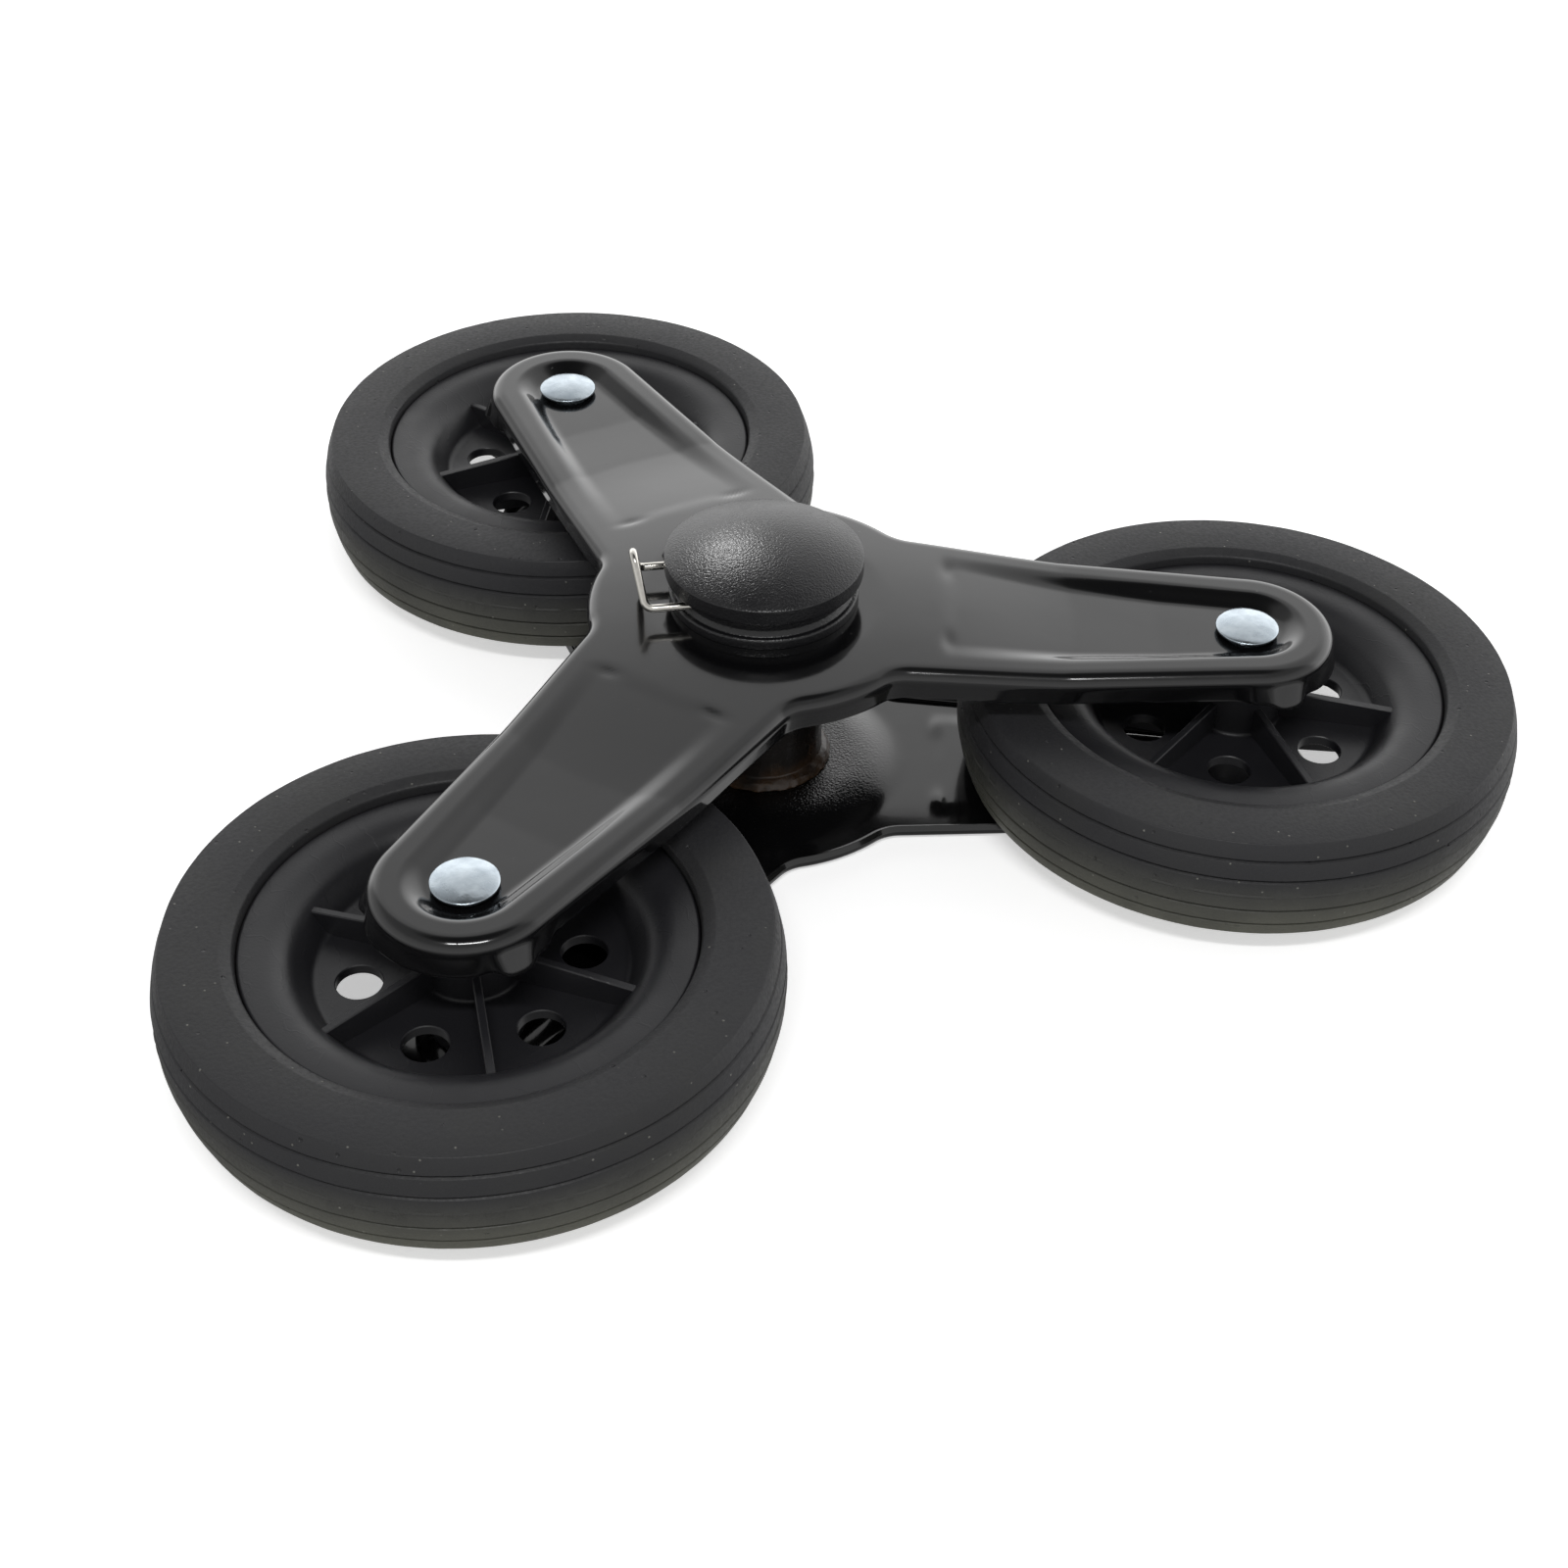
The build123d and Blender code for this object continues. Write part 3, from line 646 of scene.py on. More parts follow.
def fold(past, seed, strength):
    """Outward and downward reach of the puckered flange round an arm's tip."""
    before_tip = -14 * MM
    ripple_width, tab_width, dent_width = 4.5 * MM, 4.6 * MM, 2.2 * MM
    flare_reach, tab_reach, dent_depth, tab_drop, dent_offset = 1.2 * MM, 2.4 * MM, 0.6 * MM, 1.0 * MM, 7.0 * MM
    if past is None or past < before_tip:
        return 0.0, 0.0
    rng = random.Random(seed)
    ripple_at = rng.uniform(22.0, 30.0) * MM
    ripple = rng.uniform(-0.8, 0.8) * MM * math.exp(-(((past - ripple_at) / ripple_width) ** 2))
    tab_at = rng.uniform(6.5, 10.0) * MM
    tab = rng.uniform(0.5, 1.0) * math.exp(-(((past - tab_at) / tab_width) ** 4))
    dent = math.exp(-(((past - tab_at - dent_offset) / dent_width) ** 2))
    flare = flare_reach * float(smooth(1 + past / TIP_LEAD))
    return strength * (flare + ripple + tab_reach * tab - dent_depth * dent), strength * tab_drop * tab


def plate_columns(p, pitch, flange, bend, seed, upper):
    """Half an arm as columns of points, each from the flange's foot up over the bend and in to the spine."""
    flange_rows, bend_rows, land_rows, column_step = 6, 7, 30, 1.0 * MM
    full_flange = 9.5 * MM
    points, inward, past, marks = arm_outline(p, pitch, column_step)
    spine = spine_points(p, pitch, points, marks)
    columns = []
    for k, (point, normal) in enumerate(zip(points, inward)):
        outward, down = fold(past[k], seed, flange / full_flange)
        at_tip = 0.0 if past[k] is None else float(smooth(1 + past[k] / TIP_LEAD))
        start = point + normal * bend
        lift = max(0.0, float(land_height(p, pitch, start[0], start[1], upper)))
        column = []
        for row in range(flange_rows):
            share = 1 - row / flange_rows
            low = lift - bend - (flange - bend) * share - down * share**2
            column.append((*(point + normal * share * (p.tuck * (1 - at_tip) - outward)), low))
        for row in range(bend_rows):
            angle = math.pi / 2 * row / bend_rows
            spot = point + normal * bend * (1 - math.cos(angle))
            column.append((*spot, lift - bend + bend * math.sin(angle)))
        spots = np.array([start + (spine[k] - start) * row / land_rows for row in range(land_rows + 1)])
        heights = land_height(p, pitch, spots[:, 0], spots[:, 1], upper)
        column += [(x, y, z) for (x, y), z in zip(spots, heights)]
        columns.append(column)
    return columns


def build_plate(name, p, land_z, flange, bend, upper, material):
    """One pressed plate: bent edge, land with boss or dish, sunk panels, and puckered tips."""
    merge_distance, sheared_edge, lower_seed = 0.02 * MM, 0.35 * MM, 40
    centres = [box_centre("tyre_" + arm) for arm in ARMS]
    pitch = sum(math.hypot(c.x, c.y) for c in centres) / len(centres)
    facing = 1 if upper else -1
    bm = bmesh.new()
    for arm, centre in zip(ARMS, centres):
        turn = math.atan2(centre.y, centre.x)
        for side in (1, -1):
            seed = int(arm) * 2 + side + (0 if upper else lower_seed)
            verts = []
            for column in plate_columns(p, pitch, flange, bend, seed, upper):
                line = []
                for x, y, z in column:
                    y = y * side
                    wx = x * math.cos(turn) - y * math.sin(turn)
                    wy = x * math.sin(turn) + y * math.cos(turn)
                    line.append(bm.verts.new((wx, wy, land_z + facing * z)))
                verts.append(line)
            flip = (side > 0) != upper
            for a, b in zip(verts, verts[1:]):
                for j in range(len(a) - 1):
                    loop = (a[j], a[j + 1], b[j + 1], b[j])
                    if len({tuple(round(c, 7) for c in v.co) for v in loop}) < 3:
                        continue
                    bm.faces.new(loop[::-1] if flip else loop)
    bmesh.ops.remove_doubles(bm, verts=bm.verts, dist=merge_distance)
    bmesh.ops.dissolve_degenerate(bm, dist=1e-6, edges=bm.edges)
    piece = finish_piece(name + "_pressing", bm, "frame", material, [name], sharp=50)
    shell = piece.modifiers.new("sheet", "SOLIDIFY")
    shell.thickness = p.sheet
    shell.offset = -1.0
    shell.use_even_offset = True
    edge = piece.modifiers.new("sheared_edge", "BEVEL")
    edge.width = sheared_edge
    edge.segments = 2
    edge.limit_method = "ANGLE"
    edge.angle_limit = math.radians(60)
    applied(piece).set_sharp_from_angle(angle=math.radians(50))


# ---- hub ----------------------------------------------------------------------------------

def build_hub_tube(h, material):
    """Hub tube with an uneven bead of weld round each end."""
    bead_unevenness, lump_size, toe = 0.5 * MM, 0.09, 1.15 * h.weld
    bulge_out, bulge_up = 0.55 * h.weld, 0.75 * h.weld
    low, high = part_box("hub_tube")
    outer = (high.x - low.x) / 2 - h.weld
    inner = outer - h.tube_wall
    profile = rounded([
        (inner, low.z, 0), (outer + h.weld, low.z, 0.5 * MM), (outer + bulge_out, low.z + bulge_up, 1.2 * MM),
        (outer, low.z + toe, 1.0 * MM), (outer, high.z - toe, 1.0 * MM),
        (outer + bulge_out, high.z - bulge_up, 1.2 * MM), (outer + h.weld, high.z, 0.5 * MM), (inner, high.z, 0),
    ])

    def lumpy(r, z, angle):
        if r <= outer * 0.95:
            return r, z
        near = max(0.0, 1 - min(z - low.z, high.z - z) / (1.6 * h.weld))
        lump = near * wobble((math.cos(angle), math.sin(angle), z / (6 * MM)), lump_size)
        return min(r + bead_unevenness * lump, outer + h.weld), z

    bm = lathe(profile, 180, shape=lumpy)
    finish_piece("hub_tube_welded", bm, "frame", material, ["hub_tube"])


def build_hub_cap(h, material):
    """Domed cap with a soft edge, an upright rim and a small moulding gate on its side."""
    edge_inset, dome_steps, bunching = 0.55 * MM, 25, 0.85
    gate_angle, gate_height = math.radians(151), 3.4 * MM
    gate_reach, gate_half_width, gate_half_height = 0.7 * MM, 0.9 * MM, 1.1 * MM
    low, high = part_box("hub_cap")
    radius = (high.x - low.x) / 2
    edge_z = low.z + h.cap_rim
    inner = h.neck_radius - h.cap_wall
    inner_edge_z = edge_z - 1.0 * MM
    skirt = [(h.neck_radius, low.z, 0.35 * MM), (radius - 0.15 * MM, low.z, 0.5 * MM),
             (radius, low.z + 1.0 * MM, 0.4 * MM)]
    # The upright rim needs rings of its own for the gate to stand out from it.
    rim = [(radius, low.z + height * MM, 0) for height in (1.8, 2.4, 3.0, 3.6, 4.2)]
    edge = [(radius, edge_z - 0.1 * MM, 0.35 * MM)]
    top = dome(radius, radius - edge_inset, high.z, high.z - edge_z, dome_steps, bunching)
    inside = [(0.0, high.z - h.cap_wall, 0), (inner, edge_z, 0.8 * MM), (inner, inner_edge_z, 0),
              (h.neck_radius, inner_edge_z, 0)]

    def gate(r, z, angle):
        if r < radius - 0.5 * MM or z > edge_z:
            return r, z
        aside = (angle - gate_angle) * radius / gate_half_width
        above = (z - low.z - gate_height) / gate_half_height
        return r + gate_reach * math.exp(-aside**2 - above**2), z

    bm = lathe(rounded(skirt + rim + edge + top + inside), 360, shape=gate)
    finish_piece("hub_cap_moulding", bm, "frame", material, ["hub_cap"])


def build_hub_collar(h, sleeve_radius, material):
    """Collar with its rounded bead, hollow neck and long sleeve that fits the plate's hub hole."""
    low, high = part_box("hub_collar")
    seat = high.z - h.collar_height
    bead = (high.x - low.x) / 2
    bead_top = seat + h.bead_height
    floor = seat + h.chamber_floor
    profile = rounded([
        (h.bore_radius, low.z, 0.3 * MM), (sleeve_radius, low.z, 0.6 * MM), (sleeve_radius, seat, 0),
        (bead, seat, 0.2 * MM), (bead, bead_top, 2.2 * MM), (h.neck_radius + 0.4 * MM, bead_top, 0.5 * MM),
        (h.neck_radius - 0.35 * MM, bead_top + 1.6 * MM, 0.8 * MM),
        (h.neck_radius - 0.1 * MM, high.z, 0.4 * MM), (h.chamber_radius, high.z, 0.3 * MM),
        (h.chamber_radius, floor, 0.5 * MM), (h.bore_radius, floor, 0.4 * MM),
    ])
    finish_piece("hub_collar_moulding", lathe(profile, 240), "frame", material, ["hub_collar"])


def bent(corners, radii, steps=12):
    """Line through corners in space, bent round each inner one with its radius."""
    line = []
    for index, (point, radius) in enumerate(zip(corners, radii)):
        if not radius:
            line.append(point)
            continue
        before = (corners[index - 1] - point).normalized()
        after = (corners[index + 1] - point).normalized()
        half_angle = before.angle(after) / 2
        centre = point + (before + after).normalized() * radius / math.sin(half_angle)
        start = point + before * radius / math.tan(half_angle) - centre
        end = point + after * radius / math.tan(half_angle) - centre
        turn = start.rotation_difference(end)
        for step in range(steps + 1):
            spoke = start.copy()
            spoke.rotate(Quaternion(turn.axis, turn.angle * step / steps))
            line.append(centre + spoke)
    return line


def build_wire_clip(h, material):
    """Clip bent from one length of spring wire, with the outline of its CAD piece."""
    # The bail leans away from the hub by as much as the legs stop short of its foot.
    lean, leg_bend, crown_bend, crown_rise = 2.4 * MM, 2.6 * MM, 3.4 * MM, 1.3 * MM
    low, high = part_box("wire_clip")
    joint = next(j for j in frame["joints"] if j["name"] == "clip_slide")
    along = Vector(joint["axis"]).normalized()
    across = Vector((-along.y, along.x, 0))
    verts = [v.co for v in frame["nodes"]["wire_clip"].data.vertices]
    reach = [v.dot(along) for v in verts]
    width = [v.dot(across) for v in verts]
    half = (max(width) - min(width)) / 2 - h.wire_radius
    leg_z = low.z + h.wire_radius
    top = high.z - h.wire_radius - 0.02 * MM
    inner = min(reach)
    legs_end = max(reach) - h.wire_radius - lean
    corners = [
        (inner, -half, leg_z), (legs_end, -half, leg_z), (legs_end + lean, 0, top + crown_rise),
        (legs_end, half, leg_z), (inner, half, leg_z),
    ]
    path = [along * a + across * b + Vector((0, 0, c)) for a, b, c in corners]
    bm = sweep_round(bent(path, (0, leg_bend, crown_bend, leg_bend, 0)), h.wire_radius, 20)
    finish_piece("wire_clip_bent", bm, "clip", material, ["wire_clip"], sharp=60)


def sweep_round(line, radius, sides):
    """Closed round bar along a line of points, with its ends slightly rounded."""
    rounding = 0.4 * MM
    tangents = []
    for index in range(len(line)):
        before = line[max(0, index - 1)]
        after = line[min(len(line) - 1, index + 1)]
        tangents.append((after - before).normalized())
    first, last = tangents[0], tangents[-1]
    stations = [(line[0], radius - rounding, first), (line[0] + first * rounding, radius, first)]
    stations += [(point, radius, tangent) for point, tangent in zip(line[1:-1], tangents[1:-1])]
    stations += [(line[-1] - last * rounding, radius, last), (line[-1], radius - rounding, last)]
    bm = bmesh.new()
    normal = first.orthogonal().normalized()
    rings = []
    for point, size, tangent in stations:
        normal = (normal - tangent * normal.dot(tangent)).normalized()
        rings.append(circle(bm, point, normal, tangent.cross(normal), size, sides))
    skin(bm, rings)
    return bm


# ---- wheels and axles ---------------------------------------------------------------------

def tread_outline(w, radius, half):
    """Right-hand outline of the tyre's tread from its lower shoulder to its upper one."""
    # Offsets from a groove's middle in millimetres, each with its share of the groove's depth.
    groove = ((-0.55, 0), (-0.12, 1), (0.12, 1), (0.55, 0))
    # Heights in millimetres on the step at the parting line, each with how far it lies inside the tyre's radius.
    parting_step = ((-0.5, 0.35), (-0.12, 0.05), (0.12, 0.05), (0.5, 0.35))
    parting = [(radius - drop * MM, z * MM, 0) for z, drop in parting_step]

    def crown(z):
        return radius - w.tread_crown * abs(z / half) ** 2

    def grooves(*places):
        points = []
        for place in places:
            for shift, depth in groove:
                z = (place + shift) * MM
                points.append((crown(z) - depth * w.groove_depth, z, 0 if depth else 0.12 * MM))
        return points

    lower, upper = (crown(half), -half, 0.5 * MM), (crown(half), half, 0.5 * MM)
    return [lower, *grooves(-11.0, -5.2), *parting, *grooves(5.2, 11.0), upper]


def build_tyre(arm, w, material):
    """Solid tyre with rolled lips, tread grooves, a ragged parting line and moulding flaws."""
    unevenness, tooth, flash_loss, sag_depth = 0.10 * MM, 0.05 * MM, 0.30 * MM, 0.12 * MM
    low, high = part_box("tyre_" + arm)
    centre = (low + high) / 2
    radius = (high.x - low.x) / 2
    half = (high.z - low.z) / 2
    seat = w.rim_radius
    upper = [(seat + 9.0 * MM, half, 0), (seat + w.lip + 0.8 * MM, half - 0.15 * MM, 1.6 * MM),
             (seat + 0.55 * MM, half - 1.4 * MM, 1.2 * MM),
             (seat + 0.15 * MM, w.rim_width / 2 - 0.3 * MM, 0.3 * MM)]
    lower = [(r, -z, k) for r, z, k in reversed(upper)]
    profile = rounded(tread_outline(w, radius, half) + upper + [(seat, 0, 0)] + lower, steps=3)
    seed = 11.0 * int(arm)

    def worn(r, z, angle):
        x, y = r * math.cos(angle), r * math.sin(angle)
        up = 1 if z > 0 else -1
        off_seat = r > seat + 3 * MM
        soft = unevenness * wobble((x, y, z), 26 * MM, seed)
        if off_seat:
            soft += tooth * wobble((x, y, z), 4 * MM, seed + 3)
        if abs(z) < 0.4 * MM and r > seat + 10 * MM:
            soft += flash_loss * min(0.0, wobble((x, y, 0), 3 * MM, seed + 5))
        sag = sag_depth * abs(wobble((x, y, 2 * z), 18 * MM, seed + 7))
        return min(r + soft * off_seat, radius), max(-half, min(half, z - sag * up))

    bm = lathe(profile, 400, centre, worn)
    finish_piece("tyre_rubber_" + arm, bm, "wheel_" + arm, material, ["tyre_" + arm])


def rim_body(w, low_z, high_z):
    """Turned body of the rim as a closed outline: face ring, rounded bowls, web, barrel and back channel."""
    skin_thickness, bowl_rounding = 3.2 * MM, 10.0 * MM
    half = w.rim_width / 2
    seat = w.rim_radius - 0.1 * MM
    web = w.web / 2
    inside = half - skin_thickness
    return rounded([
        (seat, -half, 0.5 * MM), (seat, half, 0.9 * MM),
        (w.bowl_radius + 1.6 * MM, half - 0.1 * MM, bowl_rounding), (w.bowl_floor_radius, web, 2.5 * MM),
        (w.barrel_radius, web, 1.2 * MM), (w.barrel_radius, high_z, 0.5 * MM),
        (w.barrel_bore, high_z, 0.3 * MM), (w.barrel_bore, low_z, 0.3 * MM),
        (w.barrel_radius, low_z, 0.5 * MM), (w.barrel_radius, -web, 1.2 * MM),
        (w.bowl_floor_radius, -web, 2.0 * MM), (w.bowl_radius, -half, 0.8 * MM),
        (w.bowl_radius + skin_thickness, -half, 0.8 * MM), (w.bowl_radius + skin_thickness, inside, 1.5 * MM),
        (seat - skin_thickness, inside, 1.5 * MM), (seat - skin_thickness, -half, 0.8 * MM),
    ], steps=6)


def bar(bm, start, end, width, low, high_start, high_end, angle, chamfer=0.3 * MM):
    """Adds a radial rib with softened top edges, from one radius to another."""
    half = width / 2
    turn = Matrix.Rotation(angle, 4, "Z")
    sections = []
    for radius, top in ((start, high_start), (end, high_end)):
        sign = 1 if top > low else -1
        ring = [(-half, low), (-half, top - sign * chamfer), (-half + chamfer, top),
                (half - chamfer, top), (half, top - sign * chamfer), (half, low)]
        sections.append([bm.verts.new(turn @ Vector((radius, y, z))) for y, z in ring])
    skin(bm, sections)


def flared_pin(bm, x, y, radius, half, flare, sides=48):
    """Adds a round cutter whose flared waist softens the edges of the hole it leaves."""
    far, wide = 2.4 * half, radius + 4 * flare
    stations = ((-far, wide), (-half, radius + flare), (-half + flare, radius),
                (half - flare, radius), (half, radius + flare), (far, wide))
    right, up = Vector((1, 0, 0)), Vector((0, 1, 0))
    skin(bm, [circle(bm, Vector((x, y, z)), right, up, size, sides) for z, size in stations])


def build_rims(w, material):
    """Rims: one moulding cut once, then turned to each wheel's own angle."""
    ribs_per_side, back_ribs, hole_flare = 6, 12, 0.25 * MM
    rib_foot, rib_root, rib_end, back_foot, back_end = 0.4 * MM, 10.5 * MM, 8.0 * MM, 2.0 * MM, 3.2 * MM
    low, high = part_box("rim_1")
    centre = box_centre("tyre_1")
    body = new_object("rim_body", lathe(rim_body(w, low.z - centre.z, high.z - centre.z), 240))
    inner = w.barrel_radius - 1.0 * MM
    outer = w.bowl_radius + 1.6 * MM
    half = w.rim_width / 2
    sector = 360 / ribs_per_side
    ribs, holes = bmesh.new(), bmesh.new()
    for k in range(ribs_per_side):
        for face in (1, -1):
            bar(ribs, inner, outer, w.rib, face * rib_foot, face * rib_root, face * rib_end,
                math.radians(sector * (k + 0.5)))
        angle = math.radians(sector * k)
        flared_pin(holes, w.hole_pitch * math.cos(angle), w.hole_pitch * math.sin(angle), w.hole_radius, w.web / 2,
                   hole_flare)
    for k in range(back_ribs):
        bar(ribs, outer, w.rim_radius - 1.6 * MM, w.rib, half - back_foot, back_end - half, back_end - half,
            math.radians(360 / back_ribs * k))
    tools = {"UNION": new_object("rim_ribs", ribs), "DIFFERENCE": new_object("rim_holes", holes)}
    for operation, tool in tools.items():
        cut = body.modifiers.new(operation, "BOOLEAN")
        cut.operation = operation
        cut.solver = "EXACT"
        cut.object = tool
    mesh = applied(body)
    for tool in tools.values():
        bpy.data.objects.remove(tool)
    for arm in ARMS:
        bm = bmesh.new()
        bm.from_mesh(mesh)
        place = box_centre("tyre_" + arm)
        turn = Matrix.Translation(place) @ Matrix.Rotation(rim_phase(arm, place, w), 4, "Z")
        bmesh.ops.transform(bm, matrix=turn, verts=bm.verts)
        finish_piece("rim_moulding_" + arm, bm, "wheel_" + arm, material, ["rim_" + arm])
    bpy.data.objects.remove(body)


def rim_phase(arm, place, w):
    """Angle of a web hole of the CAD rim, found from the outermost part of the holes' walls."""
    pull = complex(0, 0)
    for v in frame["nodes"]["rim_" + arm].data.vertices:
        x, y, z = v.co - place
        if abs(abs(z) - w.web / 2) < 0.05 * MM and abs(math.hypot(x, y) - w.hole_pitch - w.hole_radius) < 0.3 * MM:
            pull += complex(math.cos(6 * math.atan2(y, x)), math.sin(6 * math.atan2(y, x)))
    if abs(pull) < 1e-6:
        raise RuntimeError("no web hole found on rim_" + arm)
    return math.atan2(pull.imag, pull.real) / 6


def build_rivet(arm, w, material):
    """Axle rivet with a low domed head, a rolled edge, a neck and a formed tail."""
    head_height, rise, edge_inset, neck_height = 2.4 * MM, 1.3 * MM, 0.5 * MM, 1.0 * MM
    neck_radius, tail_radius, tail_height = 6.4 * MM, 7.5 * MM, 3.0 * MM
    edge_wear, dent_depth = 0.06 * MM, 0.07 * MM
    low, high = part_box("axle_rivet_" + arm)
    centre = box_centre("axle_rivet_" + arm)
    head, shank = w.rivet_head, w.rivet_shank
    under = high.z - head_height
    neck_low = under - neck_height
    tail_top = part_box("bottom_plate")[0].z + tail_height
    corners = [(0.0, low.z, 0), (tail_radius, low.z, 1.5 * MM), (tail_radius, tail_top, 0.1 * MM),
               (shank, tail_top, 0), (shank, neck_low, 0), (neck_radius, neck_low, 0.15 * MM),
               (neck_radius, under, 0.2 * MM), (head - 0.4 * MM, under, 0.3 * MM),
               (head, under + 0.5 * MM, 0.4 * MM), (head, high.z - rise - 0.1 * MM, 0.3 * MM)]
    top = dome(head, head - edge_inset, high.z, rise, 13)
    seed = 5.0 * int(arm)

    def struck(r, z, angle):
        if z < under:
            return r, z
        x, y = r * math.cos(angle), r * math.sin(angle)
        worn = edge_wear * min(0.0, wobble((x, y, z), 4 * MM, seed))
        dent = dent_depth * abs(wobble((x, y, 0), 5.5 * MM, seed + 2))
        return min(head, r + worn * (r > 0.9 * head)), z - dent

    bm = lathe(rounded(corners + top, steps=4), 96, (centre.x, centre.y, 0), struck)
    finish_piece("axle_rivet_headed_" + arm, bm, "frame", material, ["axle_rivet_" + arm])


def dress_cad_nodes(nodes, material):
    """Gives CAD pieces that keep their own shape their finish."""
    for name in nodes:
        piece = frame["nodes"][name]
        if not piece.material_slots:
            piece.data.materials.append(material)
        for place in piece.material_slots:
            place.material = material


# ---- stage --------------------------------------------------------------------------------

def direction(azimuth, elevation):
    """Unit vector from the object's middle at an azimuth and an elevation in radians."""
    level = math.cos(elevation)
    return Vector((math.sin(azimuth) * level, -math.cos(azimuth) * level, math.sin(elevation)))


def build_floor(material):
    """Large plain floor just under the object."""
    half_width, gap = 40.0, 0.05 * MM
    bm = bmesh.new()
    bmesh.ops.create_grid(bm, x_segments=12, y_segments=12, size=half_width)
    floor = new_object("floor", bm)
    floor.location.z = CAD_BOX[0][2] - gap
    floor.data.materials.append(material)
    # Shiny flanks mirror the dim lower half of the surroundings rather than the lit board.
    floor.visible_glossy = False


def light_tent(azimuth):
    """White surroundings, brightest at the horizon and dim overhead, and bright only beyond the object."""
    world = bpy.data.worlds.new("light_tent")
    bpy.context.scene.world = world
    world.use_nodes = True
    tree = world.node_tree
    tree.nodes.clear()
    ray = add_node(tree, "ShaderNodeTexCoord").outputs["Generated"]
    up = add_node(tree, "ShaderNodeSeparateXYZ", {"Vector": ray}).outputs["Z"]
    # Stops go from straight down (0) over the horizon (0.5) to straight up (1) with the sine of the elevation.
    level = add_node(tree, "ShaderNodeMapRange", {"Value": up, "From Min": -1.0})
    walls = add_node(tree, "ShaderNodeValToRGB", {"Fac": level}, [
        (0.0, 0.22), (0.25, 0.34), (0.45, 0.52), (0.5, 1.0), (0.74, 0.80), (0.79, 0.64), (0.84, 0.50),
        (0.94, 0.42), (0.972, 0.10), (1.0, 0.05)])
    # The open side lies beyond the object as the camera sees it, 22 degrees to the right.
    open_side = -direction(azimuth - math.radians(22), 0)
    facing = add_node(tree, "ShaderNodeVectorMath", {0: ray, 1: open_side}, operation="DOT_PRODUCT")
    share = add_node(tree, "ShaderNodeMapRange", {"Value": facing.outputs["Value"], "From Min": -1.0})
    side = add_node(tree, "ShaderNodeValToRGB", {"Fac": share}, [(0.3, 0.45), (0.62, 0.45), (0.72, 1.0)])
    side.color_ramp.interpolation = "EASE"
    both = add_node(tree, "ShaderNodeMix", {0: 1.0, 6: walls, 7: side}, data_type="RGBA", blend_type="MULTIPLY")
    shade = add_node(tree, "ShaderNodeBackground", {"Color": both.outputs[2], "Strength": 1.8})
    add_node(tree, "ShaderNodeOutputWorld", {"Surface": shade})


def softbox(name, azimuth, elevation, distance, size, power):
    """Rectangular area light that faces the object, at angles in degrees."""
    light = bpy.data.lights.new(name, "AREA")
    light.shape = "RECTANGLE"
    light.size, light.size_y = size
    light.energy = power
    lamp = bpy.data.objects.new(name, light)
    back = direction(math.radians(azimuth), math.radians(elevation))
    lamp.location = back * distance
    lamp.rotation_euler = (-back).to_track_quat("-Z", "Y").to_euler()
    bpy.context.scene.collection.objects.link(lamp)
    return lamp


def flag_off(lamp, lit_pieces):
    """Keeps a lamp off everything but some pieces, as black cards do in a studio."""
    lit = bpy.data.collections.new(f"{lamp.name}_receivers")
    for name in lit_pieces:
        lit.objects.link(bpy.data.objects[name])
    lamp.light_linking.receiver_collection = lit


def build_camera(place):
    """Camera at its angles, with a small roll, looking past the middle of the object."""
    data = bpy.data.cameras.new("camera")
    data.sensor_width = 36.0
    data.lens = place.lens
    data.clip_start = 0.01
    camera = bpy.data.objects.new("camera", data)
    back = direction(place.azimuth, place.elevation)
    camera.rotation_mode = "QUATERNION"
    turn = (-back).to_track_quat("-Z", "Y")
    camera.rotation_quaternion = turn @ Euler((0, 0, place.roll)).to_quaternion()
    camera.location = Vector(place.aim) + back * place.distance
    bpy.context.scene.collection.objects.link(camera)
    bpy.context.scene.camera = camera


# ---- operators ----------------------------------------------------------------------------

class WHEELSET_OT_stage(bpy.types.Operator):
    """Set up the floor, lights and camera"""

    bl_idname = "wheelset.stage"
    bl_label = "Stage"

    def execute(self, context):
        scene = context.scene
        scene.view_settings.view_transform = "Standard"
        build_camera(scene.wheel_set_camera)
        build_floor(white_floor(scene.wheel_set_finishes))
        light_tent(scene.wheel_set_camera.azimuth)
        softbox("near_strip", azimuth=-28, elevation=60, distance=1.6, size=(0.8, 0.10), power=9)
        cap_lamp = softbox("back_left_lamp", azimuth=170, elevation=46, distance=1.6, size=(0.24, 0.24), power=7)
        flag_off(cap_lamp, ["hub_cap_moulding"])
        return {"FINISHED"}


class WHEELSET_OT_plates(bpy.types.Operator):
    """Press the upper and lower frame plates"""

    bl_idname = "wheelset.plates"
    bl_label = "Frame plates"

    def execute(self, context):
        p = context.scene.wheel_set_plates
        enamel = gloss_enamel(context.scene.wheel_set_finishes)
        low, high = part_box("top_plate")
        land_z = high.z - p.boss_height
        build_plate("top_plate", p, land_z, land_z - low.z, p.upper_bend, True, enamel)
        low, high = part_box("bottom_plate")
        build_plate("bottom_plate", p, low.z, high.z - low.z, p.lower_bend, False, enamel)
        return {"FINISHED"}


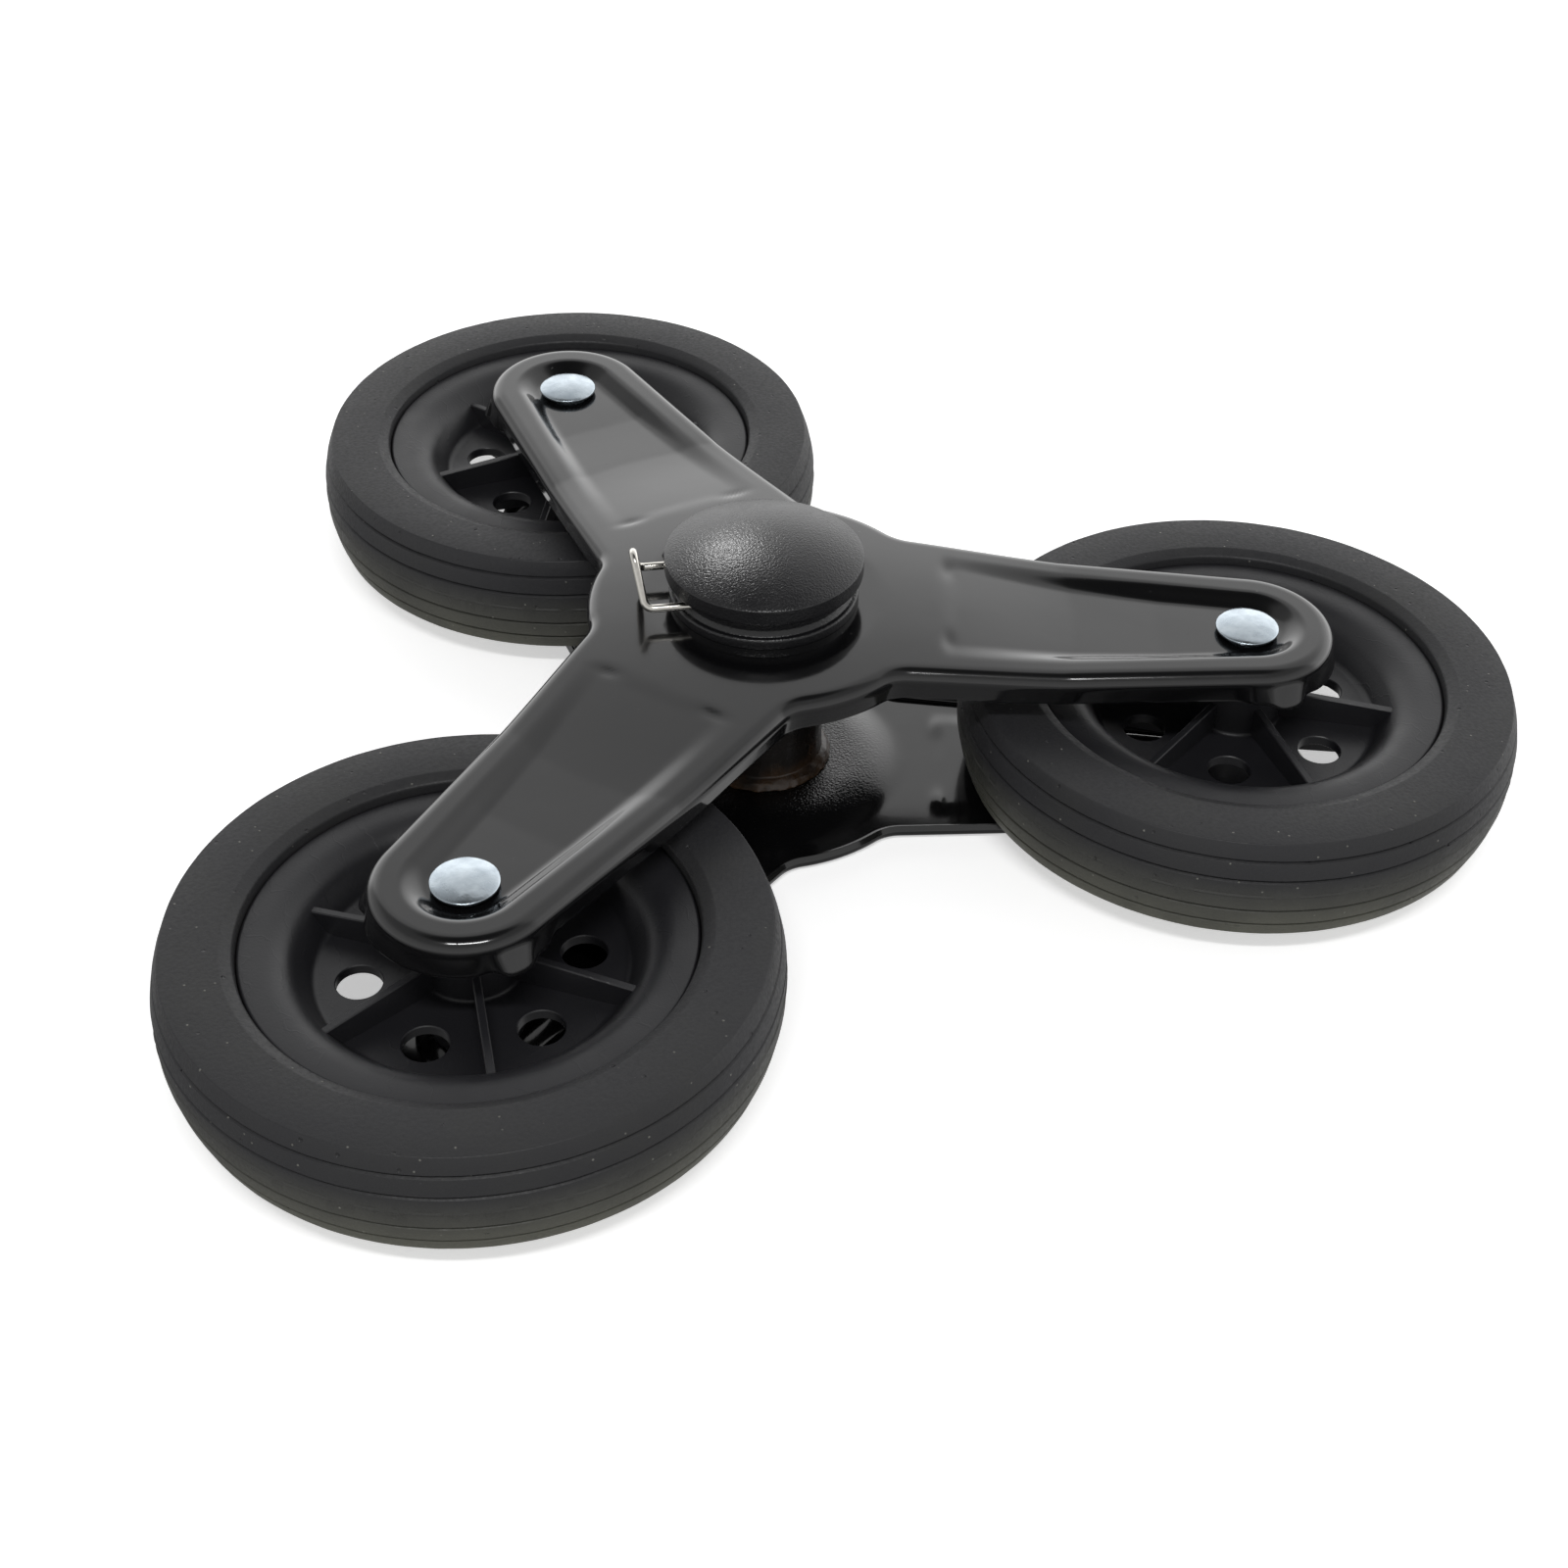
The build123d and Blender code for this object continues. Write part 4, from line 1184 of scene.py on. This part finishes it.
class WHEELSET_OT_hub(bpy.types.Operator):
    """Make the hub tube, collar, cap and lower bush"""

    bl_idname = "wheelset.hub"
    bl_label = "Hub"

    def execute(self, context):
        h = context.scene.wheel_set_hub
        colours = context.scene.wheel_set_finishes
        nylon = moulded_nylon(colours)
        build_hub_tube(h, thin_enamel_over_weld(colours))
        build_hub_collar(h, context.scene.wheel_set_plates.hub_hole_radius, nylon)
        build_hub_cap(h, nylon)
        dress_cad_nodes(["lower_bush"], nylon)
        return {"FINISHED"}


class WHEELSET_OT_clip(bpy.types.Operator):
    """Bend the spring wire clip"""

    bl_idname = "wheelset.clip"
    bl_label = "Wire clip"

    def execute(self, context):
        build_wire_clip(context.scene.wheel_set_hub, nickel_wire(context.scene.wheel_set_finishes))
        return {"FINISHED"}


class WHEELSET_OT_tyres(bpy.types.Operator):
    """Mould the three tyres"""

    bl_idname = "wheelset.tyres"
    bl_label = "Tyres"

    def execute(self, context):
        rubber = vulcanised_rubber(context.scene.wheel_set_finishes)
        for arm in ARMS:
            build_tyre(arm, context.scene.wheel_set_wheels, rubber)
        return {"FINISHED"}


class WHEELSET_OT_rims(bpy.types.Operator):
    """Mould the three rims"""

    bl_idname = "wheelset.rims"
    bl_label = "Rims"

    def execute(self, context):
        build_rims(context.scene.wheel_set_wheels, moulded_polypropylene(context.scene.wheel_set_finishes))
        return {"FINISHED"}


class WHEELSET_OT_axles(bpy.types.Operator):
    """Head the axle rivets and finish the spacer tubes and wheel bushes"""

    bl_idname = "wheelset.axles"
    bl_label = "Axles"

    def execute(self, context):
        colours = context.scene.wheel_set_finishes
        zinc = zinc_plate(colours)
        nylon = unfilled_nylon(colours)
        for arm in ARMS:
            build_rivet(arm, context.scene.wheel_set_wheels, zinc)
            dress_cad_nodes(["spacer_tube_" + arm], zinc)
            dress_cad_nodes(["wheel_bush_upper_" + arm, "wheel_bush_lower_" + arm], nylon)
        return {"FINISHED"}


OPERATORS = (WHEELSET_OT_plates, WHEELSET_OT_hub, WHEELSET_OT_clip, WHEELSET_OT_tyres, WHEELSET_OT_rims,
             WHEELSET_OT_axles, WHEELSET_OT_stage)


class WHEELSET_PT_sidebar(bpy.types.Panel):
    """Lists the wheel set's pieces and sizes"""

    bl_idname = "WHEELSET_PT_sidebar"
    bl_label = "Wheel Set"
    bl_space_type = "VIEW_3D"
    bl_region_type = "UI"
    bl_category = "Wheel Set"

    def draw(self, context):
        for operator in OPERATORS:
            self.layout.operator(operator.bl_idname)
        for name, group in GROUPS.items():
            box = self.layout.box()
            for key in group.__annotations__:
                box.prop(getattr(context.scene, name), key)


GROUPS = {
    "wheel_set_plates": PlateSizes,
    "wheel_set_hub": HubSizes,
    "wheel_set_wheels": WheelSizes,
    "wheel_set_finishes": Finishes,
    "wheel_set_camera": CameraPlace,
}


def register():
    for group in GROUPS.values():
        bpy.utils.register_class(group)
    for name, group in GROUPS.items():
        setattr(bpy.types.Scene, name, bpy.props.PointerProperty(type=group))
    for item in (*OPERATORS, WHEELSET_PT_sidebar):
        bpy.utils.register_class(item)


def unregister():
    for item in (WHEELSET_PT_sidebar, *reversed(OPERATORS)):
        bpy.utils.unregister_class(item)
    for name, group in reversed(GROUPS.items()):
        delattr(bpy.types.Scene, name)
        bpy.utils.unregister_class(group)


def main():
    register()
    for operator in OPERATORS:
        section, name = operator.bl_idname.split(".")
        getattr(getattr(bpy.ops, section), name)()


if __name__ == "__main__":
    main()
